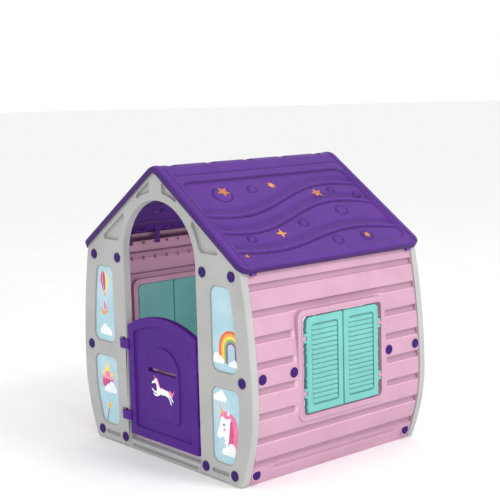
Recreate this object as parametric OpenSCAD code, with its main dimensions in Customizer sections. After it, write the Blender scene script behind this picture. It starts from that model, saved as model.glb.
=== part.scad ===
// Plastic playhouse: two gables, two clapboard side walls and a two-piece roof,
// with a swinging door, a picket gate and two louvred shutters in each side window.
// Millimetres, +Z up, front gable facing -Y, origin on the floor at the middle of the house.

/* [House] */
// Width over the widest point of the gables
house_w = 1020; // [860:10:1220]
// Depth over the front and back edges of the roof
roof_depth = 890; // [750:10:1060]
// Height of the ridge
ridge_h = 1090; // [1060:5:1150]
// Height at which the side walls bulge most
bulge_h = 280; // [240:10:330]
// How far the walls lean in at the floor
foot_tuck = 69; // [20:1:80]
// How far the walls lean in at the eaves
eave_tuck = 45; // [20:1:60]

/* [Roof] */
// Slope of each roof panel in degrees
roof_slope = 34.5; // [33:0.5:36]
// How far the eave tips stand out past the tops of the walls
eave_overhang = 24; // [16:1:34]
// Outer radius of the rounded ridge
ridge_r = 60; // [50:1:70]
// Thickness of the moulded roof skin
roof_skin = 3; // [2.5:0.5:4]
// Depth of the rim that hangs around each panel
rim_depth = 24; // [18:1:28]
// Distance from the rounded ridge to the seam on the left slope
seam_run = 22; // [15:1:30]
// Number of screws along the ridge
ridge_screw_count = 5; // [3:1:5]
// Diameter of each dished screw seat
dish_d = 44; // [36:1:50]
// Depth of each dished screw seat
dish_depth = 7; // [5:0.5:9]

/* [Gables] */
// Depth of each gable panel
gable_t = 30; // [26:1:36]
// Thickness of the moulded skin of gables, door and walls
skin = 3; // [2.5:0.5:4]
// Distance from the roof's edge to the gable's face
verge_gap = 9; // [7:1:12]
// Width of each doorway
doorway_w = 436; // [420:2:444]
// Drop from the ridge to the height at which the doorway arches spring
arch_drop = 342; // [338:1:356]
// Depth of the sticker panels
panel_recess = 4; // [2:0.5:6]

/* [Side walls] */
// Height from one board to the next
board_pitch = 87.8; // [86:0.2:89]
// Height of the top edge of the lowest board
first_board = 68; // [60:1:72]
// Depth of the groove between boards
groove_depth = 13; // [9:1:15]
// Width of each window opening
window_w = 392; // [386:1:404]
// Height of the bottom of the window opening
window_z0 = 222; // [216:1:228]
// Height of the top of the window opening
window_z1 = 574; // [568:1:582]
// Width of the raised border around each window
border_w = 22; // [18:1:26]

/* [Door and gate] */
// Gap between the door and each side of the doorway
door_gap = 9; // [7:1:11]
// Height of the bottom of the door
door_z0 = 60; // [52:1:66]
// Height of the top corners of the door
door_corner_z = 485; // [470:1:500]
// Rise of the arched top of the door
door_rise = 50; // [35:1:60]
// Depth of the door and of the gate
leaf_t = 24; // [20:1:26]
// Width of the letter slot
letter_w = 168; // [120:1:180]
// Height of the letter slot
letter_h = 12; // [10:1:14]
// Height of the bottom of the gate
gate_z0 = 72; // [71:1:76]
// Height of the top of the gate
gate_z1 = 456; // [440:1:470]
// Number of slots in the gate
slot_count = 6; // [4:1:6]
// Width of each slot in the gate
slot_w = 34; // [26:1:38]

/* [Shutters] */
// Gap between the two shutters of a window
shutter_gap = 2; // [1:0.5:6]
// Depth of each shutter
shutter_t = 18; // [15:1:20]
// Number of louvres in each shutter
louvre_count = 16; // [12:1:16]
// Diameter of the hinge knuckles
knuckle_d = 14; // [12:1:15]

/* [Fasteners] */
// Diameter of the bolt heads
head_d = 36; // [30:1:40]
// Height of the bolt heads
head_h = 6; // [4:0.5:8]
// Diameter of the bolt shanks
shank_d = 10; // [8:0.5:12]
// Radial clearance of a bolt in its hole
bolt_clear = 0.5; // [0.3:0.1:0.8]
// Radial clearance of a hinge pin in the leaf that turns on it
pin_clear = 0.08; // [0.03:0.01:0.1]

/* [Hidden] */
$fn = 64;
eps = 0.01;

// Colours
grey = "#BEBEBC";
pink = "#ECBED6";
purple = "#6B3FA0";
deep_purple = "#582D8C";
teal = "#7DCDC6";
wood_brown = "#B97846";
sky = "#B9DEE6";
gold = "#ECBE5A";

// Shell of the house
foot_curve = 1.8;
face_y = roof_depth / 2 - verge_gap;
gable_back_y = face_y - gable_t;
wall_inset = 4;
wall_x_face = house_w / 2 - 2;
doorway_x = doorway_w / 2;
return_t = 3;
return_band = 3;

// Roof section: a round ridge between two straight slopes
ridge_zc = ridge_h - ridge_r;
wall_top_x = house_w / 2 - eave_tuck;
eave_reach = wall_top_x + eave_overhang;
eave_drop = 48;
eave_h = ridge_zc + ridge_r / cos(roof_slope) - wall_top_x * tan(roof_slope) - eave_drop;
slope_run = (eave_reach - ridge_r * sin(roof_slope)) / cos(roof_slope);
arch_spring = ridge_h - arch_drop;
roof_seat = 0.2;
tongue_gap = 0.5;
tongue_off = roof_skin + tongue_gap;
gable_relief = tongue_off + roof_skin + 0.5;
seam_gap = 1.5;
rim_t = 5;
screw_margin = 85;
screw_pitch = (roof_depth - 2 * screw_margin) / (ridge_screw_count - 1);
screw_shank_d = 8;

// Door and gate hinges
door_half = doorway_x - door_gap;
door_axis_x = -(doorway_x + 31);
door_axis_y = -face_y + 4;
lug_h = 36;
lug_r = 10;
lug_z = [130, 408];
notch_clear = 6;
hinge_pin_d = 8;
ear_t = 5;
barrel_r = 11;
gate_axis_x = -(doorway_x - 15);
gate_axis_y = face_y - gable_t / 2;
gate_ear_t = 8;
gate_free_x = doorway_x - 4;
gate_pin_clear_z = 1;

// Windows and shutters
window_half = window_w / 2;
shutter_face_x = wall_x_face;
shutter_axis_x = shutter_face_x - knuckle_d / 2;
shutter_axis_y = window_half - 9;
shutter_edge_y = shutter_axis_y - knuckle_d / 2 - 1;
shutter_w = shutter_edge_y - shutter_gap / 2;
shutter_z0 = window_z0 + 5;
shutter_z1 = window_z1 - 5;
shutter_hinge_z = [(shutter_z0 + shutter_z1) / 2 - 98, (shutter_z0 + shutter_z1) / 2 + 98];
shutter_pin_d = 5;
knuckle_h = 14;
knuckle_gap = 0.6;
shutter_lug_h = 9;
frame_depth = 38;
frame_lip = 2.5;

// Fasteners inside the house
nut_h = 9;
nut_d = 26;
bracket_t = 4;
bracket_w = 44;
boss_d = shank_d + 14;
boss_depth = 20;
seat_depth = 2;

// Half width of the gables at a height
function half_w(z) = house_w / 2 - (z < bulge_h
    ? foot_tuck * pow((bulge_h - z) / bulge_h, foot_curve)
    : eave_tuck * pow((z - bulge_h) / (eave_h - bulge_h), 2));

// Bolt places: distance from the middle of a gable or wall, and height
foot_bolt_z = 38;
gable_mid_z = 374;
wall_mid_z = 386;
bolt_edge = 50;
gable_bolts = [[half_w(eave_h) - bolt_edge, eave_h], [doorway_x + 40, eave_h],
               [half_w(gable_mid_z) - bolt_edge, gable_mid_z],
               [half_w(foot_bolt_z) - bolt_edge, foot_bolt_z], [doorway_x + 30, foot_bolt_z]];
wall_bolts = [[face_y - 52, wall_mid_z], [window_half + border_w + 21, wall_mid_z],
              [face_y - 58, foot_bolt_z + 2]];

// A point on a slope, at a depth below the roof's top and a run from the round ridge
function slope_pt(side, depth, run) =
    [side * ((ridge_r - depth) * sin(roof_slope) + run * cos(roof_slope)),
     ridge_zc + (ridge_r - depth) * cos(roof_slope) - run * sin(roof_slope)];

// The round ridge at a depth, from one angle to another
function ridge_arc(depth, from, to) =
    [for (i = [0:12]) let (a = from + (to - from) * i / 12)
        [(ridge_r - depth) * sin(a), ridge_zc + (ridge_r - depth) * cos(a)]];

// Outer face of a clapboard wall, from the floor to above the eaves
function board_top(i) = first_board + i * board_pitch;
function wall_out(z) = half_w(z) - wall_inset;
board_face = 0.68 * board_pitch;
shelf_drop = 0.12 * board_pitch;
wall_roof_z = eave_h + 50;
board_count = 1 + floor((wall_roof_z - first_board) / board_pitch);
function board_pts(i) = let (t = board_top(i), b = t - board_face)
    [[wall_out(b - shelf_drop) - groove_depth, b - shelf_drop],
     [wall_out(b), b],
     [wall_out(b + board_face / 3), b + board_face / 3],
     [wall_out(b + board_face * 0.67), b + board_face * 0.67],
     [wall_out(t - 4) - 0.3, t - 4],
     [wall_out(t) - 3, t]];
wall_pts = concat([[wall_out(0), 0], [wall_out(35), 35], [wall_out(first_board) - 3, first_board]],
                  [for (i = [1:board_count - 1]) each board_pts(i)],
                  [[wall_out(wall_roof_z) - 2, wall_roof_z + 35]]);

// Rail along the top of each wall, which the roof's tabs hook behind
top_rail_z = eave_h + 23;
rail_w = 38;
rail_x = wall_out(top_rail_z) - rail_w;
tab_t = 4;
tab_w = 40;
tab_drop = 12;
rib_pitch = 58;
rib_count = floor((gable_back_y - 20) / rib_pitch);

// Lay a flat outline, drawn in X and Z, from y0 to y1
module slab(y0, y1) {
    translate([0, y1, 0])
        rotate([90, 0, 0])
            linear_extrude(y1 - y0)
                children();
}

// Lay a flat outline, drawn in Y and Z, from x0 to x1
module side_slab(x0, x1) {
    translate([x0, 0, 0])
        rotate([90, 0, 90])
            linear_extrude(x1 - x0)
                children();
}

// Repeat on both sides of the middle plane
module both_x() {
    children();
    mirror([1, 0, 0])
        children();
}

module both_y() {
    children();
    mirror([0, 1, 0])
        children();
}

// A rectangle with round corners, between two opposite corners
module round_rect(x0, y0, x1, y1, r) {
    translate([x0 + r, y0])
        square([x1 - x0 - 2 * r, y1 - y0]);
    translate([x0, y0 + r])
        square([x1 - x0, y1 - y0 - 2 * r]);
    for (x = [x0 + r, x1 - r], y = [y0 + r, y1 - r])
        translate([x, y])
            circle(r);
}

// Everything below the roof's skin, at a depth
module under_roof_2d(depth) {
    polygon(concat([[-(house_w), slope_pt(-1, depth, slope_run * 2)[1]],
                    slope_pt(-1, depth, slope_run * 2)],
                   ridge_arc(depth, -roof_slope, roof_slope),
                   [slope_pt(1, depth, slope_run * 2), [house_w, -10], [-house_w, -10]]));
}

module body_2d() {
    steps = 24;
    top = wall_roof_z + 35;
    polygon(concat([for (i = [0:steps]) [half_w(top * i / steps), top * i / steps]],
                   [[0, ridge_h * 1.2]],
                   [for (i = [steps:-1:0]) [-half_w(top * i / steps), top * i / steps]]));
}

module doorway_2d() {
    translate([-doorway_x, -1])
        square([doorway_w, arch_spring + 1]);
    translate([0, arch_spring])
        circle(doorway_x);
}

// Gable outline, with relief below the overlap of the two roof panels
module gable_2d() {
    difference() {
        intersection() {
            body_2d();
            under_roof_2d(roof_skin + roof_seat);
        }
        polygon(concat([slope_pt(-1, -5, seam_run + 10)], ridge_arc(-5, -roof_slope, roof_slope),
                       [slope_pt(1, -5, 14), slope_pt(1, gable_relief, 14)],
                       ridge_arc(gable_relief, roof_slope, -roof_slope),
                       [slope_pt(-1, gable_relief, seam_run + 10)]));
        doorway_2d();
    }
}

// Sticker panels of the right column: inner edge, bottom and top
upper_panel = [doorway_x + 79, gable_mid_z + 22, eave_h - 40];
lower_panel = [doorway_x + 72, foot_bolt_z + 30, gable_mid_z - 34];
panel_margin = 71;
panel_round = 26;

module sticker_panel_2d(panel, grow) {
    steps = 6;
    heights = [for (i = [0:steps]) panel[1] + (panel[2] - panel[1]) * i / steps];
    offset(r = panel_round + grow)
        offset(delta = -panel_round)
            polygon(concat([[panel[0], panel[2]], [panel[0], panel[1]]],
                           [for (z = heights) [half_w(z) - panel_margin, z]]));
}

module sticker_panels_2d(grow) {
    both_x() {
        sticker_panel_2d(upper_panel, grow);
        sticker_panel_2d(lower_panel, grow);
    }
}

// Triangular panels between arch and roof line: beside the ridge and above the columns
roof_panel_round = 9;
roof_panel_depth = 42;
arch_band = 32;
ridge_post = 38;
module roof_panels_2d(grow) {
    both_x()
        offset(r = grow + roof_panel_round)
            offset(delta = -roof_panel_round)
                difference() {
                    intersection() {
                        under_roof_2d(roof_panel_depth);
                        translate([ridge_post, eave_h + 67])
                            square([house_w, ridge_h]);
                    }
                    translate([0, arch_spring])
                        circle(doorway_x + arch_band);
                }
}

// Right and left bolt places of a gable, as seen from its face
module at_gable_bolts() {
    both_x()
        for (p = gable_bolts)
            translate([p[0], 0, p[1]])
                rotate([90, 0, 0])
                    children();
}

// A gable facing -Y with its face at -face_y
module gable_shell() {
    front = -face_y;
    back = -gable_back_y;
    difference() {
        union() {
            difference() {
                slab(front, back)
                    gable_2d();
                slab(front + skin, back + 1)
                    offset(delta = -skin)
                        gable_2d();
            }
            slab(front + skin - eps, front + panel_recess + skin)
                intersection() {
                    union() {
                        sticker_panels_2d(skin);
                        roof_panels_2d(skin);
                    }
                    gable_2d();
                }
            intersection() {
                slab(front + skin - eps, back)
                    gable_2d();
                both_x() {
                    for (z = [210, gable_mid_z - 6, 560, eave_h - 20])
                        translate([doorway_x, front, z])
                            cube([house_w / 2, gable_t, 3]);
                    for (a = [40:25:65])
                        translate([0, front, arch_spring])
                            rotate([0, -a, 0])
                                translate([doorway_x - 2, 0, 0])
                                    cube([200, gable_t, 3]);
                }
            }
            translate([0, back, 0])
                at_gable_bolts()
                    cylinder(h = gable_t - 1, d = boss_d);
        }
        slab(front - 1, front + panel_recess) {
            sticker_panels_2d(0);
            roof_panels_2d(0);
        }
        translate([0, back + 1, 0])
            at_gable_bolts()
                cylinder(h = gable_t + 2, r = shank_d / 2 + bolt_clear);
        both_x()
            slab(front - 1, front + 2)
                round_rect(doorway_x + 66, foot_bolt_z - 10, doorway_x + 158, foot_bolt_z + 6, 7);
    }
}

module gable_front() {
    front = -face_y;
    depth = 22;
    color(grey)
        difference() {
            union() {
                gable_shell();
                for (z = lug_z, s = [-1, 1])
                    translate([door_axis_x - 14, front + 1,
                               z + s * (lug_h / 2 + notch_clear + ear_t / 2) - ear_t / 2])
                        cube([-doorway_x - door_axis_x + 14, depth, ear_t]);
            }
            for (z = lug_z) {
                translate([door_axis_x - lug_r - 4, front - 1, z - lug_h / 2 - notch_clear])
                    cube([-doorway_x - door_axis_x + lug_r + 5, depth, lug_h + 2 * notch_clear]);
                translate([door_axis_x, door_axis_y, z - lug_h])
                    cylinder(h = 2 * lug_h, d = hinge_pin_d);
            }
        }
}

module gable_back() {
    ear_z = gate_z1 + gate_pin_clear_z;
    color(grey)
        difference() {
            union() {
                mirror([0, 1, 0])
                    gable_shell();
                translate([gate_axis_x, gate_axis_y, ear_z])
                    cylinder(h = gate_ear_t, r = barrel_r);
                translate([-doorway_x - 1, gate_axis_y - barrel_r, ear_z])
                    cube([gate_axis_x + doorway_x + 1, 2 * barrel_r, gate_ear_t]);
            }
            translate([gate_axis_x, gate_axis_y, ear_z - 1])
                cylinder(h = gate_ear_t + 2, d = hinge_pin_d);
        }
}

// A bar across the foot of a doorway, between two heights
module sill_bar(z0, z1, y0, y1) {
    difference() {
        slab(y0, y1)
            polygon([[-doorway_x, z0], [doorway_x, z0], [doorway_x, z1], [-doorway_x, z1]]);
        slab(y0 + skin, y1 + 1)
            polygon([[-doorway_x + skin, z0 + skin], [doorway_x - skin, z0 + skin],
                     [doorway_x - skin, z1 - skin], [-doorway_x + skin, z1 - skin]]);
    }
}

module threshold() {
    color(grey)
        difference() {
            sill_bar(0, 36, -face_y + 1, -gable_back_y);
            slab(-face_y, -face_y + 3)
                round_rect(-doorway_x + 22, 13, doorway_x - 22, 20, 3);
        }
}

module gate_sill() {
    color(grey)
        difference() {
            union() {
                sill_bar(45, gate_z0 - 3, gable_back_y + 2, face_y - 2);
                translate([gate_axis_x, gate_axis_y, 45])
                    cylinder(h = gate_z0 - 3 - 45, r = barrel_r);
            }
            translate([gate_axis_x, gate_axis_y, 40])
                cylinder(h = 60, d = hinge_pin_d);
        }
}

// Right wall: a clapboard skin with flanges that turn in behind both gables
module wall_shell() {
    length = 2 * gable_back_y;
    inner = [for (p = wall_pts) [p[0] - skin - 0.5, p[1]]];
    n = len(inner);
    band_top = top_rail_z - 6;
    difference() {
        union() {
            slab(-length / 2, length / 2)
                intersection() {
                    polygon(concat(wall_pts, [for (i = [n - 1:-1:0]) inner[i]]));
                    under_roof_2d(roof_skin + roof_seat);
                }
            both_y() {
                slab(-length / 2, -length / 2 + return_t)
                    intersection() {
                        polygon(concat([for (i = [0:20]) let (z = i * wall_roof_z / 20)
                                           [wall_out(z) - 3, z]],
                                       [[doorway_x + 3, wall_roof_z], [doorway_x + 3, 0]]));
                        translate([0, -1])
                            square([house_w, top_rail_z + 2]);
                    }
                slab(-length / 2 + return_t - eps, -length / 2 + return_t + return_band)
                    for (i = [1:board_count - 1])
                        polygon([[doorway_x + 8, board_top(i) - board_face],
                                 [wall_out(board_top(i)) - groove_depth, board_top(i) - board_face],
                                 [wall_out(board_top(i)) - groove_depth, min(board_top(i), band_top)],
                                 [doorway_x + 8, min(board_top(i), band_top)]]);
            }
            slab(-length / 2, length / 2)
                polygon([[rail_x, top_rail_z], [wall_out(top_rail_z) - skin, top_rail_z],
                         [wall_out(top_rail_z) - skin, top_rail_z + skin],
                         [rail_x, top_rail_z + skin]]);
            for (i = [-rib_count:rib_count])
                translate([rail_x + 4, i * rib_pitch - 1.5, top_rail_z - 22])
                    cube([rail_w - 6, 3, 24]);
            side_slab(wall_x_face - frame_depth, wall_x_face)
                round_rect(-window_half - border_w, window_z0 - border_w, window_half + border_w,
                           window_z1 + border_w, 30);
            both_y()
                for (p = wall_bolts)
                    translate([wall_out(p[1]) - boss_depth, p[0], p[1]])
                        rotate([0, 90, 0])
                            cylinder(h = boss_depth - seat_depth, d = boss_d);
        }
        side_slab(0, house_w)
            round_rect(-window_half, window_z0, window_half, window_z1, 16);
        side_slab(wall_x_face - frame_lip, wall_x_face + 1)
            round_rect(-window_half - frame_lip, window_z0 - frame_lip, window_half + frame_lip,
                       window_z1 + frame_lip, 16 + frame_lip);
        side_slab(wall_x_face - frame_depth - 1, wall_x_face - skin)
            difference() {
                round_rect(-window_half - border_w + skin, window_z0 - border_w + skin,
                           window_half + border_w - skin, window_z1 + border_w - skin, 27);
                round_rect(-window_half - skin, window_z0 - skin, window_half + skin,
                           window_z1 + skin, 19);
            }
        both_y()
            for (p = wall_bolts) {
                translate([0, p[0], p[1]])
                    rotate([0, 90, 0])
                        cylinder(h = house_w, r = shank_d / 2 + bolt_clear);
                translate([wall_out(p[1]) - seat_depth - 0.05, p[0], p[1]])
                    rotate([0, 90, 0])
                        cylinder(h = groove_depth, r = head_d / 2 + bolt_clear);
            }
        both_x()
            for (p = gable_bolts)
                translate([p[0], 0, p[1]])
                    rotate([90, 0, 0])
                        cylinder(h = 2 * roof_depth, r = shank_d / 2 + bolt_clear, center = true);
    }
}

// Hinge knuckles that hold the shutter pins, on the sides of the window frame
module wall_knuckles() {
    both_y()
        for (z = shutter_hinge_z)
            difference() {
                union() {
                    translate([shutter_axis_x, shutter_axis_y, z - knuckle_h / 2])
                        cylinder(h = knuckle_h, d = knuckle_d);
                    translate([shutter_axis_x - knuckle_d / 2, shutter_axis_y, z - knuckle_h / 2])
                        cube([0.8 * knuckle_d, window_half - shutter_axis_y + 2, knuckle_h]);
                }
                translate([shutter_axis_x, shutter_axis_y, z - knuckle_h])
                    cylinder(h = 2 * knuckle_h, d = shutter_pin_d);
            }
}

module right_wall() {
    color(pink) {
        wall_shell();
        wall_knuckles();
    }
}

module side_wall_right() {
    right_wall();
}

module side_wall_left() {
    mirror([1, 0, 0])
        right_wall();
}

// Roof skin between two depths: a straight stretch of one slope
module slope_skin_2d(side, d0, d1, run0, run1) {
    polygon([slope_pt(side, d0, run0), slope_pt(side, d0, run1),
             slope_pt(side, d1, run1), slope_pt(side, d1, run0)]);
}

// Roof skin between two depths, over the ridge and down both slopes
module ridge_skin_2d(d0, d1, left_run, right_run) {
    polygon(concat([slope_pt(-1, d0, left_run)], ridge_arc(d0, -roof_slope, roof_slope),
                   [slope_pt(1, d0, right_run), slope_pt(1, d1, right_run)],
                   ridge_arc(d1, roof_slope, -roof_slope), [slope_pt(-1, d1, left_run)]));
}

module at_ridge_screws() {
    for (i = [0:ridge_screw_count - 1])
        translate([0, (i - (ridge_screw_count - 1) / 2) * screw_pitch, 0])
            children();
}

// Tabs that hook inside the top rail of a wall
module roof_tabs(side) {
    tab_x = rail_x - tab_t - 1;
    foot = top_rail_z - tab_drop;
    top = ridge_zc + (ridge_r - roof_skin) / cos(roof_slope) - tab_x * tan(roof_slope);
    for (y = [-270, -130, 130, 270])
        translate([side * tab_x - (side > 0 ? 0 : tab_t), y - tab_w / 2, foot])
            cube([tab_t, tab_w, top - foot]);
}

module roof_right() {
    half = roof_depth / 2;
    color(purple)
        difference() {
            union() {
                slab(-half, half) {
                    ridge_skin_2d(0, roof_skin, seam_run, slope_run);
                    slope_skin_2d(1, 0, rim_depth, slope_run - rim_t, slope_run);
                }
                both_y()
                    slab(-half, -half + rim_t)
                        ridge_skin_2d(0, rim_depth, seam_run, slope_run);
                roof_tabs(1);
                intersection() {
                    slab(-half, half)
                        under_roof_2d(0);
                    at_ridge_screws()
                        translate([0, 0, ridge_h - dish_depth - roof_skin])
                            cylinder(h = dish_depth + 10, d = dish_d + 2 * roof_skin);
                }
            }
            at_ridge_screws() {
                translate([0, 0, ridge_h - dish_depth])
                    cylinder(h = dish_depth + 10, d = dish_d);
                translate([0, 0, ridge_h - 40])
                    cylinder(h = 40, r = screw_shank_d / 2 + bolt_clear);
            }
        }
}

module roof_left() {
    half = roof_depth / 2;
    start = seam_run + seam_gap;
    cup_r = dish_d / 2 + roof_skin + tongue_gap;
    cup_z = ridge_h - dish_depth - roof_skin - tongue_gap;
    color(purple)
        difference() {
            union() {
                slab(-half, half) {
                    slope_skin_2d(-1, 0, roof_skin, start, slope_run);
                    slope_skin_2d(-1, 0, rim_depth, slope_run - rim_t, slope_run);
                }
                slab(-half + rim_t + 1, half - rim_t - 1) {
                    slope_skin_2d(-1, 0, tongue_off + roof_skin, start, start + 5);
                    ridge_skin_2d(tongue_off, tongue_off + roof_skin, start + 5, 6);
                }
                both_y()
                    slab(-half, -half + rim_t)
                        slope_skin_2d(-1, 0, rim_depth, start, slope_run);
                roof_tabs(-1);
                intersection() {
                    slab(-half, half)
                        under_roof_2d(tongue_off);
                    at_ridge_screws()
                        translate([0, 0, cup_z - roof_skin])
                            cylinder(h = 20, r = cup_r + roof_skin);
                }
            }
            at_ridge_screws() {
                translate([0, 0, cup_z])
                    cylinder(h = 30, r = cup_r);
                translate([0, 0, cup_z - 20])
                    cylinder(h = 40, r = screw_shank_d / 2 + bolt_clear);
            }
        }
}

// Domed fastener along +Z: the head rises from z = 0 and the shank runs down
module domed_bolt(d, h, shank, length) {
    ball = (d * d / 4 + h * h) / (2 * h);
    intersection() {
        translate([0, 0, h - ball])
            sphere(ball);
        cylinder(h = h, d = d);
    }
    translate([0, 0, -length])
        cylinder(h = length + 1, d = shank);
}

module nut() {
    difference() {
        cylinder(h = nut_h, d = nut_d, $fn = 6);
        translate([0, 0, -1])
            cylinder(h = nut_h + 2, r = shank_d / 2 + bolt_clear);
    }
}

// Bolts of the front gable: head on the face, nut against the wall flange behind it
module front_bolts() {
    length = gable_t + return_t + return_band + nut_h + 2;
    translate([0, -face_y, 0])
        at_gable_bolts()
            domed_bolt(head_d, head_h, shank_d, length);
}

// Some bolts stand where the flange has a raised band, and one of them on a bracket
function behind_gable(p) = let (k = (p[1] - first_board) / board_pitch,
                                from_top = (ceil(k) - k) * board_pitch)
    return_t + (p[1] > first_board && p[1] < top_rail_z - 6 && from_top < board_face - nut_d / 2
        && from_top > nut_d / 2 ? return_band : 0);

module front_nuts() {
    both_x()
        for (p = gable_bolts) {
            extra = p[1] == gable_mid_z ? return_band + bracket_t - (behind_gable(p) - return_t) : 0;
            translate([p[0], -gable_back_y + behind_gable(p) + extra, p[1]])
                rotate([-90, 0, 0])
                    nut();
        }
}

module wall_bolt_set() {
    both_y()
        for (p = wall_bolts)
            translate([wall_out(p[1]) - seat_depth, p[0], p[1]])
                rotate([0, 90, 0])
                    domed_bolt(head_d, head_h + seat_depth, shank_d, boss_depth + bracket_t + nut_h);
}

module wall_nut_set() {
    both_y()
        for (p = wall_bolts)
            translate([wall_out(p[1]) - boss_depth - nut_h - (p[1] == wall_mid_z ? bracket_t : 0),
                       p[0], p[1]])
                rotate([0, 90, 0])
                    nut();
}

module bolts_front() {
    color(deep_purple)
        front_bolts();
}

module bolts_back() {
    color(deep_purple)
        mirror([0, 1, 0])
            front_bolts();
}

module bolts_right() {
    color(deep_purple)
        wall_bolt_set();
}

module bolts_left() {
    color(deep_purple)
        mirror([1, 0, 0])
            wall_bolt_set();
}

module nuts_front() {
    color(deep_purple)
        front_nuts();
}

module nuts_back() {
    color(deep_purple)
        mirror([0, 1, 0])
            front_nuts();
}

module nuts_right() {
    color(deep_purple)
        wall_nut_set();
}

module nuts_left() {
    color(deep_purple)
        mirror([1, 0, 0])
            wall_nut_set();
}

module ridge_screws() {
    seat_z = ridge_h - dish_depth;
    color(deep_purple)
        at_ridge_screws()
            translate([0, 0, seat_z])
                difference() {
                    domed_bolt(24, 4, screw_shank_d, 2 * roof_skin + 8);
                    for (a = [0, 90])
                        rotate([0, 0, a])
                            translate([-7, -1.5, 1.5])
                                cube([14, 3, 5]);
                }
}

// Inner bracket at the front right corner, on the middle bolt of the gable and two of the wall
module corner_bracket() {
    z = (gable_mid_z + wall_mid_z) / 2;
    back = -gable_back_y + return_t + return_band;
    wall_x = wall_out(wall_mid_z) - boss_depth;
    arm = 62;
    difference() {
        union() {
            translate([wall_x - arm, back, z - bracket_w / 2])
                cube([arm, bracket_t, bracket_w]);
            translate([wall_x - bracket_t, back, z - bracket_w / 2])
                cube([bracket_t, -back - window_half - border_w - 1, bracket_w]);
        }
        for (p = gable_bolts)
            translate([p[0], 0, p[1]])
                rotate([90, 0, 0])
                    cylinder(h = 2 * roof_depth, r = shank_d / 2 + bolt_clear, center = true);
        for (p = wall_bolts)
            translate([0, -p[0], p[1]])
                rotate([0, 90, 0])
                    cylinder(h = house_w, r = shank_d / 2 + bolt_clear);
    }
}

module bracket_front_right() {
    color(pink)
        corner_bracket();
}

module bracket_front_left() {
    color(pink)
        mirror([1, 0, 0])
            corner_bracket();
}

module bracket_back_right() {
    color(pink)
        mirror([0, 1, 0])
            corner_bracket();
}

module bracket_back_left() {
    color(pink)
        mirror([1, 0, 0])
            mirror([0, 1, 0])
                corner_bracket();
}

// Round nubs that snap the eave rim onto the wall
module eave_clips(side) {
    z = slope_pt(1, rim_depth, slope_run)[1];
    x = slope_pt(1, rim_depth, slope_run)[0];
    color(purple)
        intersection() {
            for (y = [-face_y + 52, face_y - 52])
                translate([side * (x - 6), y, z - 3])
                    rotate([90, 0, 0])
                        cylinder(h = 22, r = 7, center = true);
            slab(-face_y, face_y)
                under_roof_2d(rim_depth + roof_seat);
        }
}

module eave_clips_left() {
    eave_clips(-1);
}

module eave_clips_right() {
    eave_clips(1);
}

// Door outline: straight sides and a gently arched top
module door_2d(inset) {
    half = door_half - inset;
    rise_r = (door_half * door_half + door_rise * door_rise) / (2 * door_rise);
    intersection() {
        translate([-half, door_z0 + inset])
            square([2 * half, door_corner_z + door_rise - door_z0]);
        translate([0, door_corner_z + door_rise - rise_r - inset])
            circle(rise_r, $fn = 200);
    }
}

// The tombstone-shaped panel in the middle of the door
module door_panel_2d(inset) {
    half = 100 - inset;
    translate([-half, 150 + inset])
        square([2 * half, 220 - inset]);
    intersection() {
        translate([0, 308])
            circle(118 - inset);
        translate([-half, 330])
            square([2 * half, 120]);
    }
}

module door() {
    front = -face_y;
    back = front + leaf_t;
    color(purple)
        difference() {
            union() {
                difference() {
                    slab(front, back)
                        door_2d(0);
                    slab(front + 9, back + 1)
                        door_2d(skin);
                    difference() {
                        slab(front - 1, front + 5)
                            door_2d(36);
                        slab(front + 1, front + 6)
                            door_panel_2d(0);
                    }
                }
                slab(front + 8, back)
                    difference() {
                        translate([-letter_w / 2 - skin, 333 - letter_h / 2 - skin])
                            square([letter_w + 2 * skin, letter_h + 2 * skin]);
                        translate([-letter_w / 2, 333 - letter_h / 2])
                            square([letter_w, letter_h]);
                    }
                for (z = lug_z) {
                    translate([door_axis_x, door_axis_y, z - lug_h / 2])
                        cylinder(h = lug_h, r = lug_r);
                    translate([door_axis_x, door_axis_y - lug_r, z - lug_h / 2])
                        cube([-door_half - door_axis_x + 4, lug_r + 3, lug_h]);
                    translate([-door_half, front, z - lug_h / 2])
                        cube([30, leaf_t, lug_h]);
                }
                for (z = [95, 362])
                    translate([door_half - 3, front + 3, z])
                        cube([door_gap + 2, leaf_t - 6, 78]);
                for (x = [-120, 120])
                    translate([x - 1.5, front + 8, door_z0 + 2])
                        cube([3, leaf_t - 8, door_corner_z - door_z0 - 4]);
            }
            slab(front - 1, back + 1)
                round_rect(-letter_w / 2, 333 - letter_h / 2, letter_w / 2, 333 + letter_h / 2, 4);
            for (z = lug_z)
                translate([door_axis_x, door_axis_y, z - lug_h])
                    cylinder(h = 2 * lug_h, r = hinge_pin_d / 2 + pin_clear);
        }
}

module door_hinge_pins() {
    length = lug_h + 2 * (notch_clear + ear_t);
    color(grey)
        for (z = lug_z)
            translate([door_axis_x, door_axis_y, z - length / 2])
                cylinder(h = length, d = hinge_pin_d);
}

// Gate outline with its upright slots
module gate_2d() {
    x0 = gate_axis_x + barrel_r - 2;
    span = gate_free_x - x0;
    pitch = (span - 36) / slot_count;
    difference() {
        translate([x0, gate_z0])
            square([span, gate_z1 - gate_z0]);
        for (i = [0:slot_count - 1])
            translate([x0 + 18 + (i + 0.5) * pitch, 0])
                round_rect(-slot_w / 2, gate_z0 + 42, slot_w / 2, gate_z1 - 36, slot_w / 2 - 0.5);
    }
}

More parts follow.
